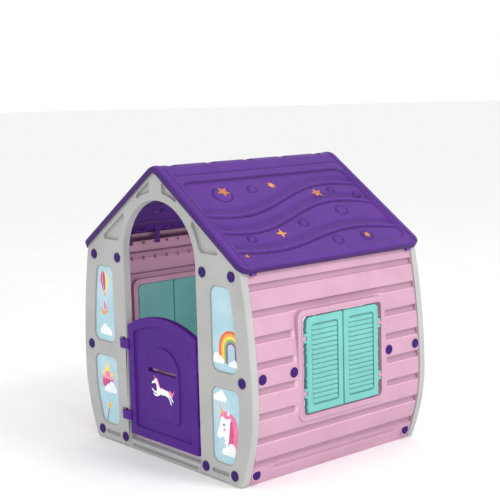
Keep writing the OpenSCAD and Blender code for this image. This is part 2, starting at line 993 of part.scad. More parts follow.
module gate() {
    y1 = gate_axis_y + barrel_r;
    y0 = y1 - leaf_t + 4;
    color(wood_brown)
        difference() {
            union() {
                difference() {
                    slab(y0, y1)
                        gate_2d();
                    slab(y0 - 1, y1 - skin)
                        offset(delta = -skin)
                            gate_2d();
                }
                translate([gate_axis_x, gate_axis_y, gate_z0])
                    cylinder(h = gate_z1 - gate_z0, r = barrel_r);
            }
            translate([gate_axis_x, gate_axis_y, gate_z0 - 1])
                cylinder(h = 41, r = hinge_pin_d / 2 + pin_clear);
            translate([gate_axis_x, gate_axis_y, gate_z1 - 40])
                cylinder(h = 41, r = hinge_pin_d / 2 + pin_clear);
        }
}

module gate_hinge_pins() {
    top_z = gate_z1 + gate_pin_clear_z + gate_ear_t;
    color(grey) {
        translate([gate_axis_x, gate_axis_y, 45])
            cylinder(h = gate_z0 - 45 + 36, d = hinge_pin_d);
        translate([gate_axis_x, gate_axis_y, top_z - 44]) {
            cylinder(h = 44, d = hinge_pin_d);
            translate([0, 0, 44])
                cylinder(h = 3, d = hinge_pin_d + 5);
        }
    }
}

// One shutter of the right wall's window, on the back (+Y) side
module shutter() {
    x1 = shutter_face_x;
    x0 = x1 - shutter_t;
    y0 = shutter_edge_y - shutter_w;
    field_z0 = shutter_z0 + 26;
    field_z1 = shutter_z1 - 26;
    pitch = (field_z1 - field_z0 - 8) / louvre_count;
    color(teal)
        difference() {
            union() {
                difference() {
                    side_slab(x0, x1)
                        round_rect(y0, shutter_z0, shutter_edge_y, shutter_z1, 14);
                    side_slab(x0 - 1, x1 - 9)
                        round_rect(y0 + 4, shutter_z0 + 4, shutter_edge_y - 4, shutter_z1 - 4, 10);
                    side_slab(x1 - 6, x1 + 1)
                        round_rect(y0 + 24, field_z0, shutter_edge_y - 24, field_z1, 12);
                }
                for (i = [0:louvre_count - 1])
                    translate([x1 - 7, y0 + 26, field_z0 + 4 + (i + 0.5) * pitch])
                        rotate([-90, 0, 0])
                            cylinder(h = shutter_w - 52, r = 6);
                for (z = shutter_hinge_z, s = [-1, 1])
                    translate([shutter_axis_x, shutter_axis_y,
                               z + s * (knuckle_h / 2 + knuckle_gap + shutter_lug_h / 2)
                               - shutter_lug_h / 2]) {
                        cylinder(h = shutter_lug_h, d = knuckle_d);
                        translate([-knuckle_d / 2, shutter_edge_y - shutter_axis_y - 4, 0])
                            cube([knuckle_d, shutter_axis_y - shutter_edge_y + 4, shutter_lug_h]);
                    }
            }
            for (z = shutter_hinge_z)
                translate([shutter_axis_x, shutter_axis_y, z - 25])
                    cylinder(h = 50, r = shutter_pin_d / 2 + pin_clear);
        }
}

module shutter_right_back() {
    shutter();
}

module shutter_right_front() {
    mirror([0, 1, 0])
        shutter();
}

module shutter_left_back() {
    mirror([1, 0, 0])
        shutter();
}

module shutter_left_front() {
    mirror([1, 0, 0])
        mirror([0, 1, 0])
            shutter();
}

module shutter_pins(side) {
    length = knuckle_h + 2 * (knuckle_gap + shutter_lug_h) + 2;
    color(teal)
        both_y()
            for (z = shutter_hinge_z)
                translate([side * shutter_axis_x, shutter_axis_y, z - length / 2])
                    cylinder(h = length, d = shutter_pin_d);
}

module shutter_pins_right() {
    shutter_pins(1);
}

module shutter_pins_left() {
    shutter_pins(-1);
}

// Printed film in the sticker panels of a gable
module gable_stickers() {
    slab(-face_y + panel_recess - 0.4, -face_y + panel_recess)
        sticker_panels_2d(-3);
}

module stickers_front() {
    color(sky)
        gable_stickers();
}

module stickers_back() {
    color(sky)
        mirror([0, 1, 0])
            gable_stickers();
}

module door_sticker() {
    color("white")
        slab(-face_y + 0.6, -face_y + 1)
            translate([0, 262])
                scale([1.6, 1])
                    circle(44);
}

// Star stickers of a roof panel: run down the slope, place along the ridge, size
roof_star_places = [[191, -247, 34], [178, -5, 26], [248, 173, 32], [440, -152, 26],
                    [526, -375, 12], [510, 219, 20]];

module star_2d(r) {
    polygon([for (i = [0:9]) let (q = i % 2 == 0 ? r : r * 0.42) [q * sin(i * 36), q * cos(i * 36)]]);
}

module roof_stars(side) {
    start = ridge_r * sin(roof_slope) / cos(roof_slope);
    lift = 0.05;
    color(gold)
        for (p = roof_star_places)
            translate(in_space(slope_pt(side, -lift, p[0] - start), side * p[1]))
                rotate([0, side * roof_slope, 0])
                    rotate([0, 0, 90])
                        linear_extrude(0.4)
                            star_2d(p[2]);
}

// A point of a cross section, moved along the house
function in_space(p, y) = [p[0], y, p[1]];

module roof_stars_left() {
    roof_stars(-1);
}

module roof_stars_right() {
    roof_stars(1);
}

gable_front();
gable_back();
side_wall_left();
side_wall_right();
roof_left();
roof_right();
threshold();
gate_sill();
door();
door_hinge_pins();
gate();
gate_hinge_pins();
shutter_left_front();
shutter_left_back();
shutter_right_front();
shutter_right_back();
shutter_pins_left();
shutter_pins_right();
bolts_front();
bolts_back();
bolts_left();
bolts_right();
nuts_front();
nuts_back();
nuts_left();
nuts_right();
ridge_screws();
eave_clips_left();
eave_clips_right();
bracket_front_left();
bracket_front_right();
bracket_back_left();
bracket_back_right();
stickers_front();
stickers_back();
door_sticker();
roof_stars_left();
roof_stars_right();
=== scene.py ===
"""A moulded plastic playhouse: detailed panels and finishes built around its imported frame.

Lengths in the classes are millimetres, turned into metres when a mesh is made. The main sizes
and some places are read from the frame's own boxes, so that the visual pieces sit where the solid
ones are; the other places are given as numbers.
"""
import logging
import math
from dataclasses import dataclass, field
from enum import Enum
from functools import partial
from typing import Any, Callable, Iterable, Optional, Sequence

import bmesh
import bpy
import numpy as np
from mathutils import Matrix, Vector
from mathutils.geometry import tessellate_polygon


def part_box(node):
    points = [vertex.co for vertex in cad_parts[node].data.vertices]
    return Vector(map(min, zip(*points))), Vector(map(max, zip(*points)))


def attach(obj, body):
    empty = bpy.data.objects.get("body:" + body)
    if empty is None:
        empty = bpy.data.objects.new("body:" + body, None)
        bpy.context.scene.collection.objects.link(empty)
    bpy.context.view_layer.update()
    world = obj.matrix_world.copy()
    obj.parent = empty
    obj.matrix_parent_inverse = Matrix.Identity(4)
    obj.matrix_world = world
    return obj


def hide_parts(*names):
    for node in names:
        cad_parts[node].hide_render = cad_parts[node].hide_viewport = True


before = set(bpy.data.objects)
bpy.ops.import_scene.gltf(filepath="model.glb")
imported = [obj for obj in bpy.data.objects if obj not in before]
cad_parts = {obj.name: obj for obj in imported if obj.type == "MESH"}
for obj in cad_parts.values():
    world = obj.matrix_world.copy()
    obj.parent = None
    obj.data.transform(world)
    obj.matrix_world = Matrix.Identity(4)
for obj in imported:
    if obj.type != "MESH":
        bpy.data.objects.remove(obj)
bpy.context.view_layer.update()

logging.basicConfig(level=logging.INFO, format="%(message)s")
LOG = logging.getLogger("playhouse")
MM = 0.001
# Name of the vertex attribute of painted shade (positive) and painted highlight (negative).
PAINTED_SHADING = "hollow"
ENDS = (("right", 1), ("left", -1))
SCREWS, SCREW_R = 5, 12.0
WINDOW_X, HINGE_Z = 508.0, (300.0, 496.0)
Place = Callable[[np.ndarray, np.ndarray, np.ndarray], np.ndarray]
Colour = tuple[float, float, float]
Socket = bpy.types.NodeSocket
Input = Any


# ---- finishes


def linear(red: int, green: int, blue: int) -> Colour:
    """Turns a display colour of 0 to 255 into linear light.

    Args:
        red, green, blue: The three parts of the display colour.

    Returns:
        The same colour as three linear values from 0 to 1.
    """
    parts = [c / 255 for c in (red, green, blue)]
    return tuple(c / 12.92 if c <= 0.04045 else ((c + 0.055) / 1.055) ** 2.4 for c in parts)


def wired(tree: bpy.types.NodeTree, kind: str, inputs: Optional[dict],
          settings: dict) -> bpy.types.Node:
    """Adds a node to a tree, with its inputs set or linked.

    Args:
        tree: The node tree.
        kind: The node's type.
        inputs: Values or output sockets, by the input's name or number.
        settings: The node's own properties.

    Returns:
        The new node.
    """
    node = tree.nodes.new(kind)
    for key, value in settings.items():
        setattr(node, key, value)
    for key, value in (inputs or {}).items():
        connect(tree, node.inputs[key], value)
    return node


def connect(tree: bpy.types.NodeTree, socket: Socket, value: Input) -> None:
    """Links another socket to an input, or sets the input's own value."""
    if isinstance(value, Socket):
        tree.links.new(value, socket)
    else:
        socket.default_value = value


class Shader:
    """A material's node tree, built a node at a time."""

    def __init__(self, name: str) -> None:
        """Starts an empty material.

        Args:
            name: The material's name.
        """
        self.material = bpy.data.materials.new(name)
        self.material.use_nodes = True
        self.tree = self.material.node_tree
        self.tree.nodes.clear()
        self.surface = self.add("ShaderNodeBsdfPrincipled")
        self.add("ShaderNodeOutputMaterial", {"Surface": self.surface.outputs["BSDF"]})
        self.coordinates = self.add("ShaderNodeTexCoord").outputs["Object"]

    def add(self, kind: str, inputs: Optional[dict] = None, **settings: Input) -> bpy.types.Node:
        """Adds a node with its inputs set or linked, and returns it."""
        return wired(self.tree, kind, inputs, settings)

    def noise(self, scale: float, detail: float = 2.0,
              stretch: Sequence[float] = (1, 1, 1)) -> Socket:
        """Adds a noise pattern on object coordinates.

        Args:
            scale: Cells to the metre.
            detail: Octaves of finer noise.
            stretch: How much the pattern is squeezed along each axis.

        Returns:
            The pattern's value socket.
        """
        mapped = self.add("ShaderNodeMapping", {"Vector": self.coordinates, "Scale": stretch})
        node = self.add("ShaderNodeTexNoise", {"Vector": mapped.outputs[0], "Scale": scale,
                                               "Detail": detail})
        return node.outputs[0]

    def ramp(self, value: Input, stops: Sequence[tuple[float, Colour]]) -> Socket:
        """Maps a value through a colour ramp.

        Args:
            value: The socket that drives the ramp.
            stops: Positions and colours, in order.

        Returns:
            The ramp's colour socket.
        """
        node = self.add("ShaderNodeValToRGB", {0: value})
        band = node.color_ramp
        for index, (position, colour) in enumerate(stops):
            stop = band.elements[index] if index < 2 else band.elements.new(position)
            stop.position, stop.color = position, (*colour, 1)
        return node.outputs[0]

    def span(self, value: Input, low: float, high: float, start: float = 0.0,
             end: float = 1.0) -> Socket:
        """Maps a value from one range to another, clamped.

        Args:
            value: The socket to map.
            low, high: The result at the two ends.
            start, end: The values at the two ends.

        Returns:
            The mapped value's socket.
        """
        node = self.add("ShaderNodeMapRange", {"Value": value, "From Min": start, "From Max": end,
                                               "To Min": low, "To Max": high})
        return node.outputs[0]

    def mix(self, share: Input, first: Input, second: Input, blend: str = "MIX") -> Socket:
        """Mixes two colours.

        Args:
            share: A value or socket: how much of the second.
            first, second: Colours or sockets.
            blend: The way they mix.

        Returns:
            The mixed colour's socket.
        """
        node = self.add("ShaderNodeMix", data_type="RGBA", blend_type=blend)
        for number, value in ((0, share), (6, first), (7, second)):
            value = (*value, 1) if isinstance(value, tuple) else value
            connect(self.tree, node.inputs[number], value)
        return node.outputs[2]

    def set(self, name: str, value: Input) -> None:
        """Sets or links an input of the surface."""
        connect(self.tree, self.surface.inputs[name], value)


@dataclass(frozen=True)
class MouldedPlastic:
    """Blow-moulded polyethylene: a satin skin with a fine grain and slightly uneven walls.

    Attributes:
        name: The material's name.
        colour: The plastic's colour, in linear light.
        slot: The record's material slot.
        roughness: How matt the skin is.
        grain: Depth of the fine grain, in millimetres.
        wear: How much lighter the handled edges are.
        sheen: How strongly the skin reflects.
    """

    name: str
    colour: Colour
    slot: str
    roughness: float = 0.42
    grain: float = 0.10
    wear: float = 0.22
    sheen: float = 0.34

    def material(self) -> bpy.types.Material:
        """Builds the finish, or returns it if it is there."""
        if self.name in bpy.data.materials:
            return bpy.data.materials[self.name]
        s = Shader(self.name)
        cloud = s.noise(5.5, 4.0)
        streak = s.noise(16.0, 3.0, (1, 1, 0.22))
        dark = tuple(c * 0.90 for c in self.colour)
        light = tuple(min(1.0, c * 1.05 + 0.004) for c in self.colour)
        base = s.ramp(cloud, [(0.30, dark), (0.55, self.colour), (0.78, light)])
        base = s.mix(s.span(streak, 0.0, 0.16, 0.45, 0.75), base, light)
        edge = s.add("ShaderNodeNewGeometry").outputs["Pointiness"]
        rubbed = tuple(min(1.0, c * 0.8 + 0.22) for c in self.colour)
        scuff = s.span(s.noise(42.0, 4.0), 0.2, 1.0, 0.35, 0.65)
        worn = s.add("ShaderNodeMath", {0: s.span(edge, 0.0, self.wear, 0.53, 0.60), 1: scuff},
                     operation="MULTIPLY")
        base = s.mix(worn.outputs[0], base, rubbed)
        # Painted shade darkens the colour towards 0.42 of itself where the attribute is positive,
        # and painted highlight lightens it towards 1.5 of itself where it is negative.
        hollow = s.add("ShaderNodeAttribute", attribute_name=PAINTED_SHADING).outputs["Fac"]
        for end, factor in ((1.0, 0.42), (-1.0, 1.5)):
            shade = tuple(c * factor for c in self.colour)
            base = s.mix(s.span(hollow, 0.0, 1.0, 0.0, end), base, shade)
        s.set("Base Color", base)
        s.set("Roughness", s.span(s.noise(28.0, 4.0), self.roughness - 0.06,
                                  self.roughness + 0.08, 0.3, 0.7))
        s.set("Specular IOR Level", self.sheen)
        fine = s.add("ShaderNodeBump", {"Height": s.noise(1100.0, 3.0), "Strength": 0.35,
                                        "Distance": self.grain * MM})
        waves = s.add("ShaderNodeBump", {"Height": s.noise(14.0, 2.0), "Strength": 0.30,
                                         "Distance": 1.2 * MM, "Normal": fine.outputs[0]})
        s.set("Normal", waves.outputs[0])
        return s.material


@dataclass(frozen=True)
class PrintedFilm:
    """Glossy printed film, with a faint tint drift and tiny printed specks.

    Attributes:
        name: The material's name.
        colour: The ink's colour, in linear light.
        second: The colour that it drifts towards.
        speck: The colour of the tiny printed dots, or None.
        slot: The record's material slot.
    """

    name: str
    colour: Colour
    second: Colour
    speck: Optional[Colour] = None
    slot: str = "sticker_film"

    def material(self) -> bpy.types.Material:
        """Builds the finish, or returns it if it is there."""
        if self.name in bpy.data.materials:
            return bpy.data.materials[self.name]
        s = Shader(self.name)
        base = s.ramp(s.noise(11.0, 2.0), [(0.36, self.colour), (0.64, self.second)])
        if self.speck is not None:
            cells = s.add("ShaderNodeTexVoronoi", {"Vector": s.coordinates, "Scale": 42.0})
            dots = s.span(cells.outputs["Distance"], 0.55, 0.0, 0.08, 0.13)
            base = s.mix(dots, base, self.speck)
        s.set("Base Color", base)
        s.set("Roughness", s.span(s.noise(60.0, 3.0), 0.26, 0.38, 0.35, 0.65))
        s.set("Coat Weight", 0.10)
        s.set("Coat Roughness", 0.18)
        ripple = s.add("ShaderNodeBump", {"Height": s.noise(90.0, 2.0), "Strength": 0.2,
                                          "Distance": 0.15 * MM})
        s.set("Normal", ripple.outputs[0])
        return s.material


def ink(name: str, colour: Sequence[int], second: Sequence[int], speck: Optional[Colour] = None,
        slot: str = "sticker_film") -> PrintedFilm:
    """A printed film from two display colours of 0 to 255."""
    return PrintedFilm(name, linear(*colour), linear(*second), speck, slot)


class Finish(Enum):
    """The finishes of the house."""

    GREY = MouldedPlastic("grey_moulding", linear(172, 172, 171), "grey_plastic")
    PINK = MouldedPlastic("pink_moulding", linear(191, 148, 170), "pink_plastic", wear=0.30)
    PURPLE = MouldedPlastic("purple_moulding", linear(84, 42, 130), "purple_plastic", 0.44,
                            sheen=0.16)
    DOOR = MouldedPlastic("door_moulding", linear(76, 28, 128), "purple_plastic", 0.42, wear=0.10,
                          sheen=0.14)
    BOLT = MouldedPlastic("bolt_moulding", linear(56, 20, 102), "deep_purple_plastic", 0.42,
                          wear=0.08, sheen=0.16)
    TEAL = MouldedPlastic("teal_moulding", linear(108, 180, 174), "teal_plastic", 0.36, wear=0.32)
    BROWN = MouldedPlastic("brown_moulding", linear(170, 104, 60), "brown_plastic")
    SKY = ink("sky_film", (178, 208, 220), (160, 200, 212), linear(134, 188, 198))
    WHITE = ink("white_ink", (246, 246, 244), (232, 236, 238))
    ROSE = ink("rose_ink", (240, 130, 165), (232, 104, 150))
    DEEP_ROSE = ink("deep_rose_ink", (214, 70, 130), (196, 58, 122))
    RED = ink("red_ink", (226, 96, 62), (214, 84, 56))
    ORANGE = ink("orange_ink", (240, 160, 60), (234, 146, 50))
    YELLOW = ink("yellow_ink", (246, 216, 96), (240, 204, 80))
    GREEN = ink("green_ink", (132, 190, 84), (118, 178, 76))
    VIOLET = ink("violet_ink", (150, 84, 150), (134, 72, 140))
    INK = ink("dark_ink", (44, 34, 60), (54, 42, 70))
    GOLD = ink("gold_star_ink", (216, 152, 62), (178, 104, 40), slot="gold_film")

    @property
    def material(self) -> bpy.types.Material:
        """The finish's material."""
        return self.value.material()

    @property
    def slot(self) -> str:
        """The record's material slot."""
        return self.value.slot


# ---- outlines


def arc(cx: float, cy: float, r: float, start: float, end: float, steps: int) -> np.ndarray:
    """Points along an arc, with both ends.

    Args:
        cx, cy: The centre.
        r: The radius.
        start, end: Angles in degrees, anticlockwise from the first axis.
        steps: Number of chords.

    Returns:
        An array of steps + 1 points.
    """
    a = np.radians(np.linspace(start, end, steps + 1))
    return np.column_stack([cx + r * np.cos(a), cy + r * np.sin(a)])


def rounded(corners: Sequence[Sequence[float]], steps: int = 6) -> np.ndarray:
    """Rounds the corners of an outline.

    Args:
        corners: Points (u, v, radius); a radius of 0 keeps the point.
        steps: Chords in each rounded corner.

    Returns:
        The outline as an array of points.
    """
    points, count, out = np.array(corners, float), len(corners), []
    for i in range(count):
        p, r = points[i, :2], points[i, 2]
        if r <= 0:
            out.append(p)
            continue
        to_last, to_next = points[i - 1, :2] - p, points[(i + 1) % count, :2] - p
        reach = 0.499 * min(np.linalg.norm(to_last), np.linalg.norm(to_next))
        to_last, to_next = to_last / np.linalg.norm(to_last), to_next / np.linalg.norm(to_next)
        half = math.acos(float(np.clip(to_last @ to_next, -1, 1))) / 2
        run = min(r / math.tan(half), reach)
        r = run * math.tan(half)
        middle = to_last + to_next
        centre = p + middle / np.linalg.norm(middle) * (r / math.sin(half))
        first, last = p + to_last * run - centre, p + to_next * run - centre
        a0, a1 = math.atan2(first[1], first[0]), math.atan2(last[1], last[0])
        turn = (a1 - a0 + math.pi) % (2 * math.pi) - math.pi
        out.extend(centre + r * np.array([math.cos(a0 + turn * k / steps),
                                          math.sin(a0 + turn * k / steps)])
                   for k in range(steps + 1))
    return np.array(out)


def rectangle(u0: float, v0: float, u1: float, v1: float, r: float, steps: int = 6) -> np.ndarray:
    """An anticlockwise rectangle with rounded corners."""
    return rounded([(u0, v0, r), (u1, v0, r), (u1, v1, r), (u0, v1, r)], steps)


def circle(cu: float, cv: float, r: float, steps: int = 32) -> np.ndarray:
    """An anticlockwise circle."""
    return arc(cu, cv, r, 0, 360, steps)[:-1]


def blob(points: Sequence[Sequence[float]], steps: int = 5) -> np.ndarray:
    """A smooth closed outline through a few points.

    Args:
        points: The points that the outline passes through.
        steps: Chords between two of them.

    Returns:
        The outline as an array of points.
    """
    p = np.array(points, float)
    before, after, far = np.roll(p, 1, 0), np.roll(p, -1, 0), np.roll(p, -2, 0)
    out = []
    for i in range(len(p)):
        for t in np.arange(steps) / steps:
            out.append(0.5 * (2 * p[i] + (after[i] - before[i]) * t
                              + (2 * before[i] - 5 * p[i] + 4 * after[i] - far[i]) * t ** 2
                              + (3 * p[i] - before[i] - 3 * after[i] + far[i]) * t ** 3))
    return np.array(out)


def star(size: float, points: int = 5, waist: float = 0.44, turn: float = 90.0) -> np.ndarray:
    """A star outline round the origin, with its first point at an angle in degrees."""
    corners = np.arange(2 * points)
    angles = np.radians(turn + corners * 180 / points)
    radii = np.where(corners % 2 == 0, size, size * waist)
    return np.column_stack([radii * np.cos(angles), radii * np.sin(angles)])


def mirrored(loop: np.ndarray) -> np.ndarray:
    """The mirror image of an outline, still anticlockwise."""
    return (loop * [-1, 1])[::-1]


def area(loop: np.ndarray) -> float:
    """The signed area of an outline: positive when it runs anticlockwise."""
    u, v = loop[:, 0], loop[:, 1]
    return float(np.sum(u * np.roll(v, -1) - np.roll(u, -1) * v) / 2)


def grown(loop: np.ndarray, distance: float) -> np.ndarray:
    """An anticlockwise outline moved outwards by a distance, point for point."""
    edge = np.roll(loop, -1, 0) - loop
    edge /= np.maximum(np.linalg.norm(edge, axis=1), 1e-9)[:, None]
    out = np.column_stack([edge[:, 1], -edge[:, 0]])
    both = out + np.roll(out, 1, 0)
    both /= np.maximum(np.linalg.norm(both, axis=1), 1e-9)[:, None]
    lean = np.maximum((both * out).sum(1), 0.45)
    return loop + both * (distance / lean)[:, None]


def clipped(shape: np.ndarray, window: np.ndarray) -> np.ndarray:
    """The part of an outline inside a convex anticlockwise window."""
    out = [tuple(p) for p in shape]
    for a, b in zip(window, np.roll(window, -1, 0)):
        edge, source, out = b - a, out, []
        side = [edge[0] * (p[1] - a[1]) - edge[1] * (p[0] - a[0]) for p in source]
        for i, p in enumerate(source):
            q, sp, sq = source[i - 1], side[i], side[i - 1]
            if (sp >= 0) != (sq >= 0):
                t = sq / (sq - sp)
                out.append((q[0] + (p[0] - q[0]) * t, q[1] + (p[1] - q[1]) * t))
            if sp >= 0:
                out.append(p)
    return np.array(out)


# ---- meshes


@dataclass
class Feature:
    """A recess, a boss or a hole moulded into a panel.

    Attributes:
        loop: Its anticlockwise outline.
        depth: Depth of its floor below the panel's face, or None for a hole.
        rim: Radius of the edge that it starts with.
        fillet: Radius of the edge at its floor, or at the back of a hole.
        inner: Features of its floor.
        shade: How much painted shade darkens its walls.
        dark_floor: True if its floor gets the same painted shade as its walls.
    """

    loop: np.ndarray
    depth: Optional[float]
    rim: float = 3.0
    fillet: float = 2.5
    inner: list["Feature"] = field(default_factory=list)
    shade: float = 0.25
    dark_floor: bool = False


class Shape:
    """Vertices and faces of one piece, in millimetres, gathered part by part.

    Attributes:
        QUARTER: The angles that a rounded edge is stepped in.
        PALE: How many rings of a feature's lip get no painted shade.
    """

    QUARTER = np.radians([0, 22.5, 45, 67.5, 90])
    PALE = 3

    def __init__(self) -> None:
        """Starts an empty shape."""
        self.points: list[np.ndarray] = []
        self.painted_shadings: list[np.ndarray] = []
        self.faces: list[tuple[int, ...]] = []
        self.slots: list[int] = []
        self.slot = 0

    def add(self, points: np.ndarray, hollow: Input = 0.0) -> list[int]:
        """Adds vertices, each with its painted shade (negative for painted highlight), and returns
        their numbers.
        """
        start = sum(len(p) for p in self.points)
        self.points.append(np.asarray(points, float))
        self.painted_shadings.append(np.broadcast_to(hollow, len(points)))
        return list(range(start, start + len(points)))

    def face(self, ids: Sequence[int]) -> None:
        """Adds a face in the present material."""
        self.faces.append(tuple(ids))
        self.slots.append(self.slot)

    def bridge(self, first: Sequence[int], second: Sequence[int], closed: bool = True) -> None:
        """Joins two rings of the same length with quads."""
        count = len(first)
        for i in range(count if closed else count - 1):
            j = (i + 1) % count
            self.face((first[i], first[j], second[j], second[i]))

    def fill(self, ring: tuple[list[int], np.ndarray],
             holes: Iterable[tuple[list[int], np.ndarray]] = ()) -> None:
        """Fills a flat ring, leaving its holes open.

        Args:
            ring: The outer ring's vertex numbers and flat points.
            holes: The same for each hole.
        """
        rings = [ring, *holes]
        ids = [i for r in rings for i in r[0]]
        flat = [[Vector((p[0], p[1], 0)) for p in r[1]] for r in rings]
        for triangle in tessellate_polygon(flat):
            self.face([ids[i] for i in triangle])

    def steps(self, start: float, end: float, first: float, last: float) -> list[tuple]:
        """Rings down a wall between two depths, as (how far outside the outline, depth)."""
        way = math.copysign(1, end - start)
        first, last = (min(r, abs(end - start) * 0.499) for r in (first, last))
        q = self.QUARTER
        down = [(first * (1 - math.sin(t)), start + way * first * (1 - math.cos(t))) for t in q]
        level = [(-last * (1 - math.cos(t)), end - way * last * (1 - math.sin(t))) for t in q]
        return [(first + 1, start), *down, *level, (-last - 1, end)]

    def rings(self, place: Place, loop: np.ndarray, profile: Sequence[tuple],
              dark: Sequence[float]) -> list[tuple[list[int], np.ndarray]]:
        """Sweeps an outline down a profile.

        Args:
            place: Turns outline points and depths into space.
            loop: The anticlockwise outline.
            profile: How far outside the outline, and how deep, each ring lies.
            dark: How much painted shade each ring gets.

        Returns:
            Each ring's vertex numbers and flat points.
        """
        made = []
        for (distance, z), shade in zip(profile, dark):
            flat = grown(loop, distance)
            made.append((self.add(place(flat[:, 0], flat[:, 1], np.full(len(flat), z)), shade),
                         flat))
        for a, b in zip(made, made[1:]):
            self.bridge(a[0], b[0])
        return made

    def floor(self, place: Place, ring: tuple[list[int], np.ndarray], depth: float,
              features: Sequence[Feature], thickness: float) -> list:
        """Fills a level stretch of a panel and everything moulded into it.

        Args:
            place: Turns outline points and depths into space.
            ring: The stretch's outer ring.
            depth: The stretch's depth.
            features: What is moulded into it.
            thickness: Depth of the panel's back.

        Returns:
            The rings of the holes, at the panel's back.
        """
        holes, through = [], []
        for f in features:
            last_depth = thickness if f.depth is None else f.depth
            profile = self.steps(depth, last_depth, f.rim, f.fillet)
            half, last = len(profile) // 2, len(profile) - 1
            if f.depth is None:
                profile = [(d if k < half else -d, z) for k, (d, z) in enumerate(profile)]
            # Painted shade on a feature's walls past the first rings of its lip, and on its floor
            # where dark_floor is set.
            dark = [f.shade * (k >= self.PALE and (k < last or f.dark_floor))
                    for k in range(len(profile))]
            rings = self.rings(place, f.loop, profile, dark)
            holes.append(rings[0])
            if f.depth is None:
                through.append(rings[-1])
            else:
                through += self.floor(place, rings[-1], f.depth, f.inner, thickness)
        self.fill(ring, holes)
        return through

    def panel(self, place: Place, loop: np.ndarray, thickness: float, rim: float = 4.0,
              back_rim: float = 2.0, features: Sequence[Feature] = ()) -> None:
        """Adds a closed panel with rounded edges and moulded features.

        Args:
            place: Turns outline points and depths into space.
            loop: The panel's anticlockwise outline.
            thickness: The panel's depth.
            rim, back_rim: Radii of the edges of its face and back.
            features: What is moulded into its face.
        """
        q = self.QUARTER
        profile = [(-rim - 1, 0)] + [(-rim * (1 - math.sin(t)), rim * (1 - math.cos(t))) for t in q]
        profile += [(-back_rim * (1 - math.cos(t)), thickness - back_rim * (1 - math.sin(t)))
                    for t in q] + [(-back_rim - 1, thickness)]
        rings = self.rings(place, loop, profile, [0.0] * len(profile))
        through = self.floor(place, rings[0], 0.0, features, thickness)
        self.fill(rings[-1], through)

    def lathe(self, foot: Sequence[float], profile: Sequence[tuple], steps: int = 24) -> None:
        """Adds an upright turned piece.

        Args:
            foot: The point on its axis that the profile's heights are measured from.
            profile: (radius, height) from one pole to the other.
            steps: Chords around it.
        """
        rings = []
        for r, height in profile:
            u, v = circle(foot[0], foot[1], r, steps).T
            rings.append(self.add(np.column_stack([u, v, np.full(steps, foot[2] + height)])))
        for first, second in zip(rings, rings[1:]):
            self.bridge(first, second)
        self.face(rings[0][::-1])
        self.face(rings[-1])

    def mesh(self, name: str, finishes: Sequence[Finish], closed: bool = True,
             sharp: float = 50.0) -> bpy.types.Mesh:
        """Makes the mesh, in metres.

        Args:
            name: The mesh's name.
            finishes: Its materials, in the order of the slots.
            closed: True if every shell is closed, so that its faces can be turned outwards.
            sharp: Edges over this angle in degrees stay sharp.

        Returns:
            The mesh.
        """
        mesh = bpy.data.meshes.new(name)
        mesh.from_pydata((np.concatenate(self.points) * MM).tolist(), [], self.faces)
        for finish in finishes:
            mesh.materials.append(finish.material)
        mesh.polygons.foreach_set("material_index", self.slots)
        # Stores each vertex's painted shade or painted highlight as an attribute for the plastics.
        shades = mesh.attributes.new(PAINTED_SHADING, "FLOAT", "POINT")
        shades.data.foreach_set("value", np.concatenate(self.painted_shadings).astype(np.float32))
        work = bmesh.new()
        work.from_mesh(mesh)
        bmesh.ops.remove_doubles(work, verts=work.verts, dist=2e-6)
        bmesh.ops.dissolve_degenerate(work, edges=work.edges, dist=1e-6)
        if closed:
            bmesh.ops.recalc_face_normals(work, faces=work.faces)
        work.to_mesh(mesh)
        work.free()
        shade_smooth(mesh, sharp)
        return mesh


def shade_smooth(mesh: bpy.types.Mesh, sharp: float) -> None:
    """Shades a mesh smooth, apart from edges over an angle in degrees."""
    mesh.polygons.foreach_set("use_smooth", [True] * len(mesh.polygons))
    mesh.set_sharp_from_angle(angle=math.radians(sharp))


def laid(order: str, at: Sequence[float] = (0, 0, 0), way: Sequence[int] = (1, 1, 1)) -> Place:
    """Lays panel points out along the house's axes.

    Args:
        order: What runs along X, Y and Z: the outline's u and v and the depth d, with a capital
            for one that runs backwards.
        at: Where the outline's origin stands, before any mirroring.
        way: 1 for each axis, or -1 where it is mirrored.

    Returns:
        The function that places the points.
    """
    def place(u: np.ndarray, v: np.ndarray, d: np.ndarray) -> np.ndarray:
        """Places outline points at their depths."""
        parts = {"u": u, "v": v, "d": d, "V": -v, "D": -d}
        return np.column_stack([w * (a + parts[key]) for key, a, w in zip(order, at, way)])
    return place


def facing(y: float, way: int) -> Place:
    """Places panel points on a wall of the house that faces -Y (way 1) or +Y (way -1)."""
    return laid("udv", (0, y, 0), (way, way, 1))


def sideways(x: float, way: int, end: int = 1) -> Place:
    """Places panel points on a wall that faces +X (way 1) or -X (way -1)."""
    return laid("Duv", (x, 0, 0), (way, end, 1))


def upright(z: float) -> Place:
    """Places outline points in plan, with depth measured upwards."""
    return laid("uvd", (0, 0, z))


def box_mm(node: str) -> tuple[Vector, Vector]:
    """The low and high corners of a solid node's box, in millimetres."""
    low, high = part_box(node)
    return low / MM, high / MM


def pin_axis(node: str) -> tuple[float, float]:
    """Where the upright axis of a group of hinge pins stands, in millimetres."""
    low, high = box_mm(node)
    return (low.x + high.x) / 2, (low.y + high.y) / 2


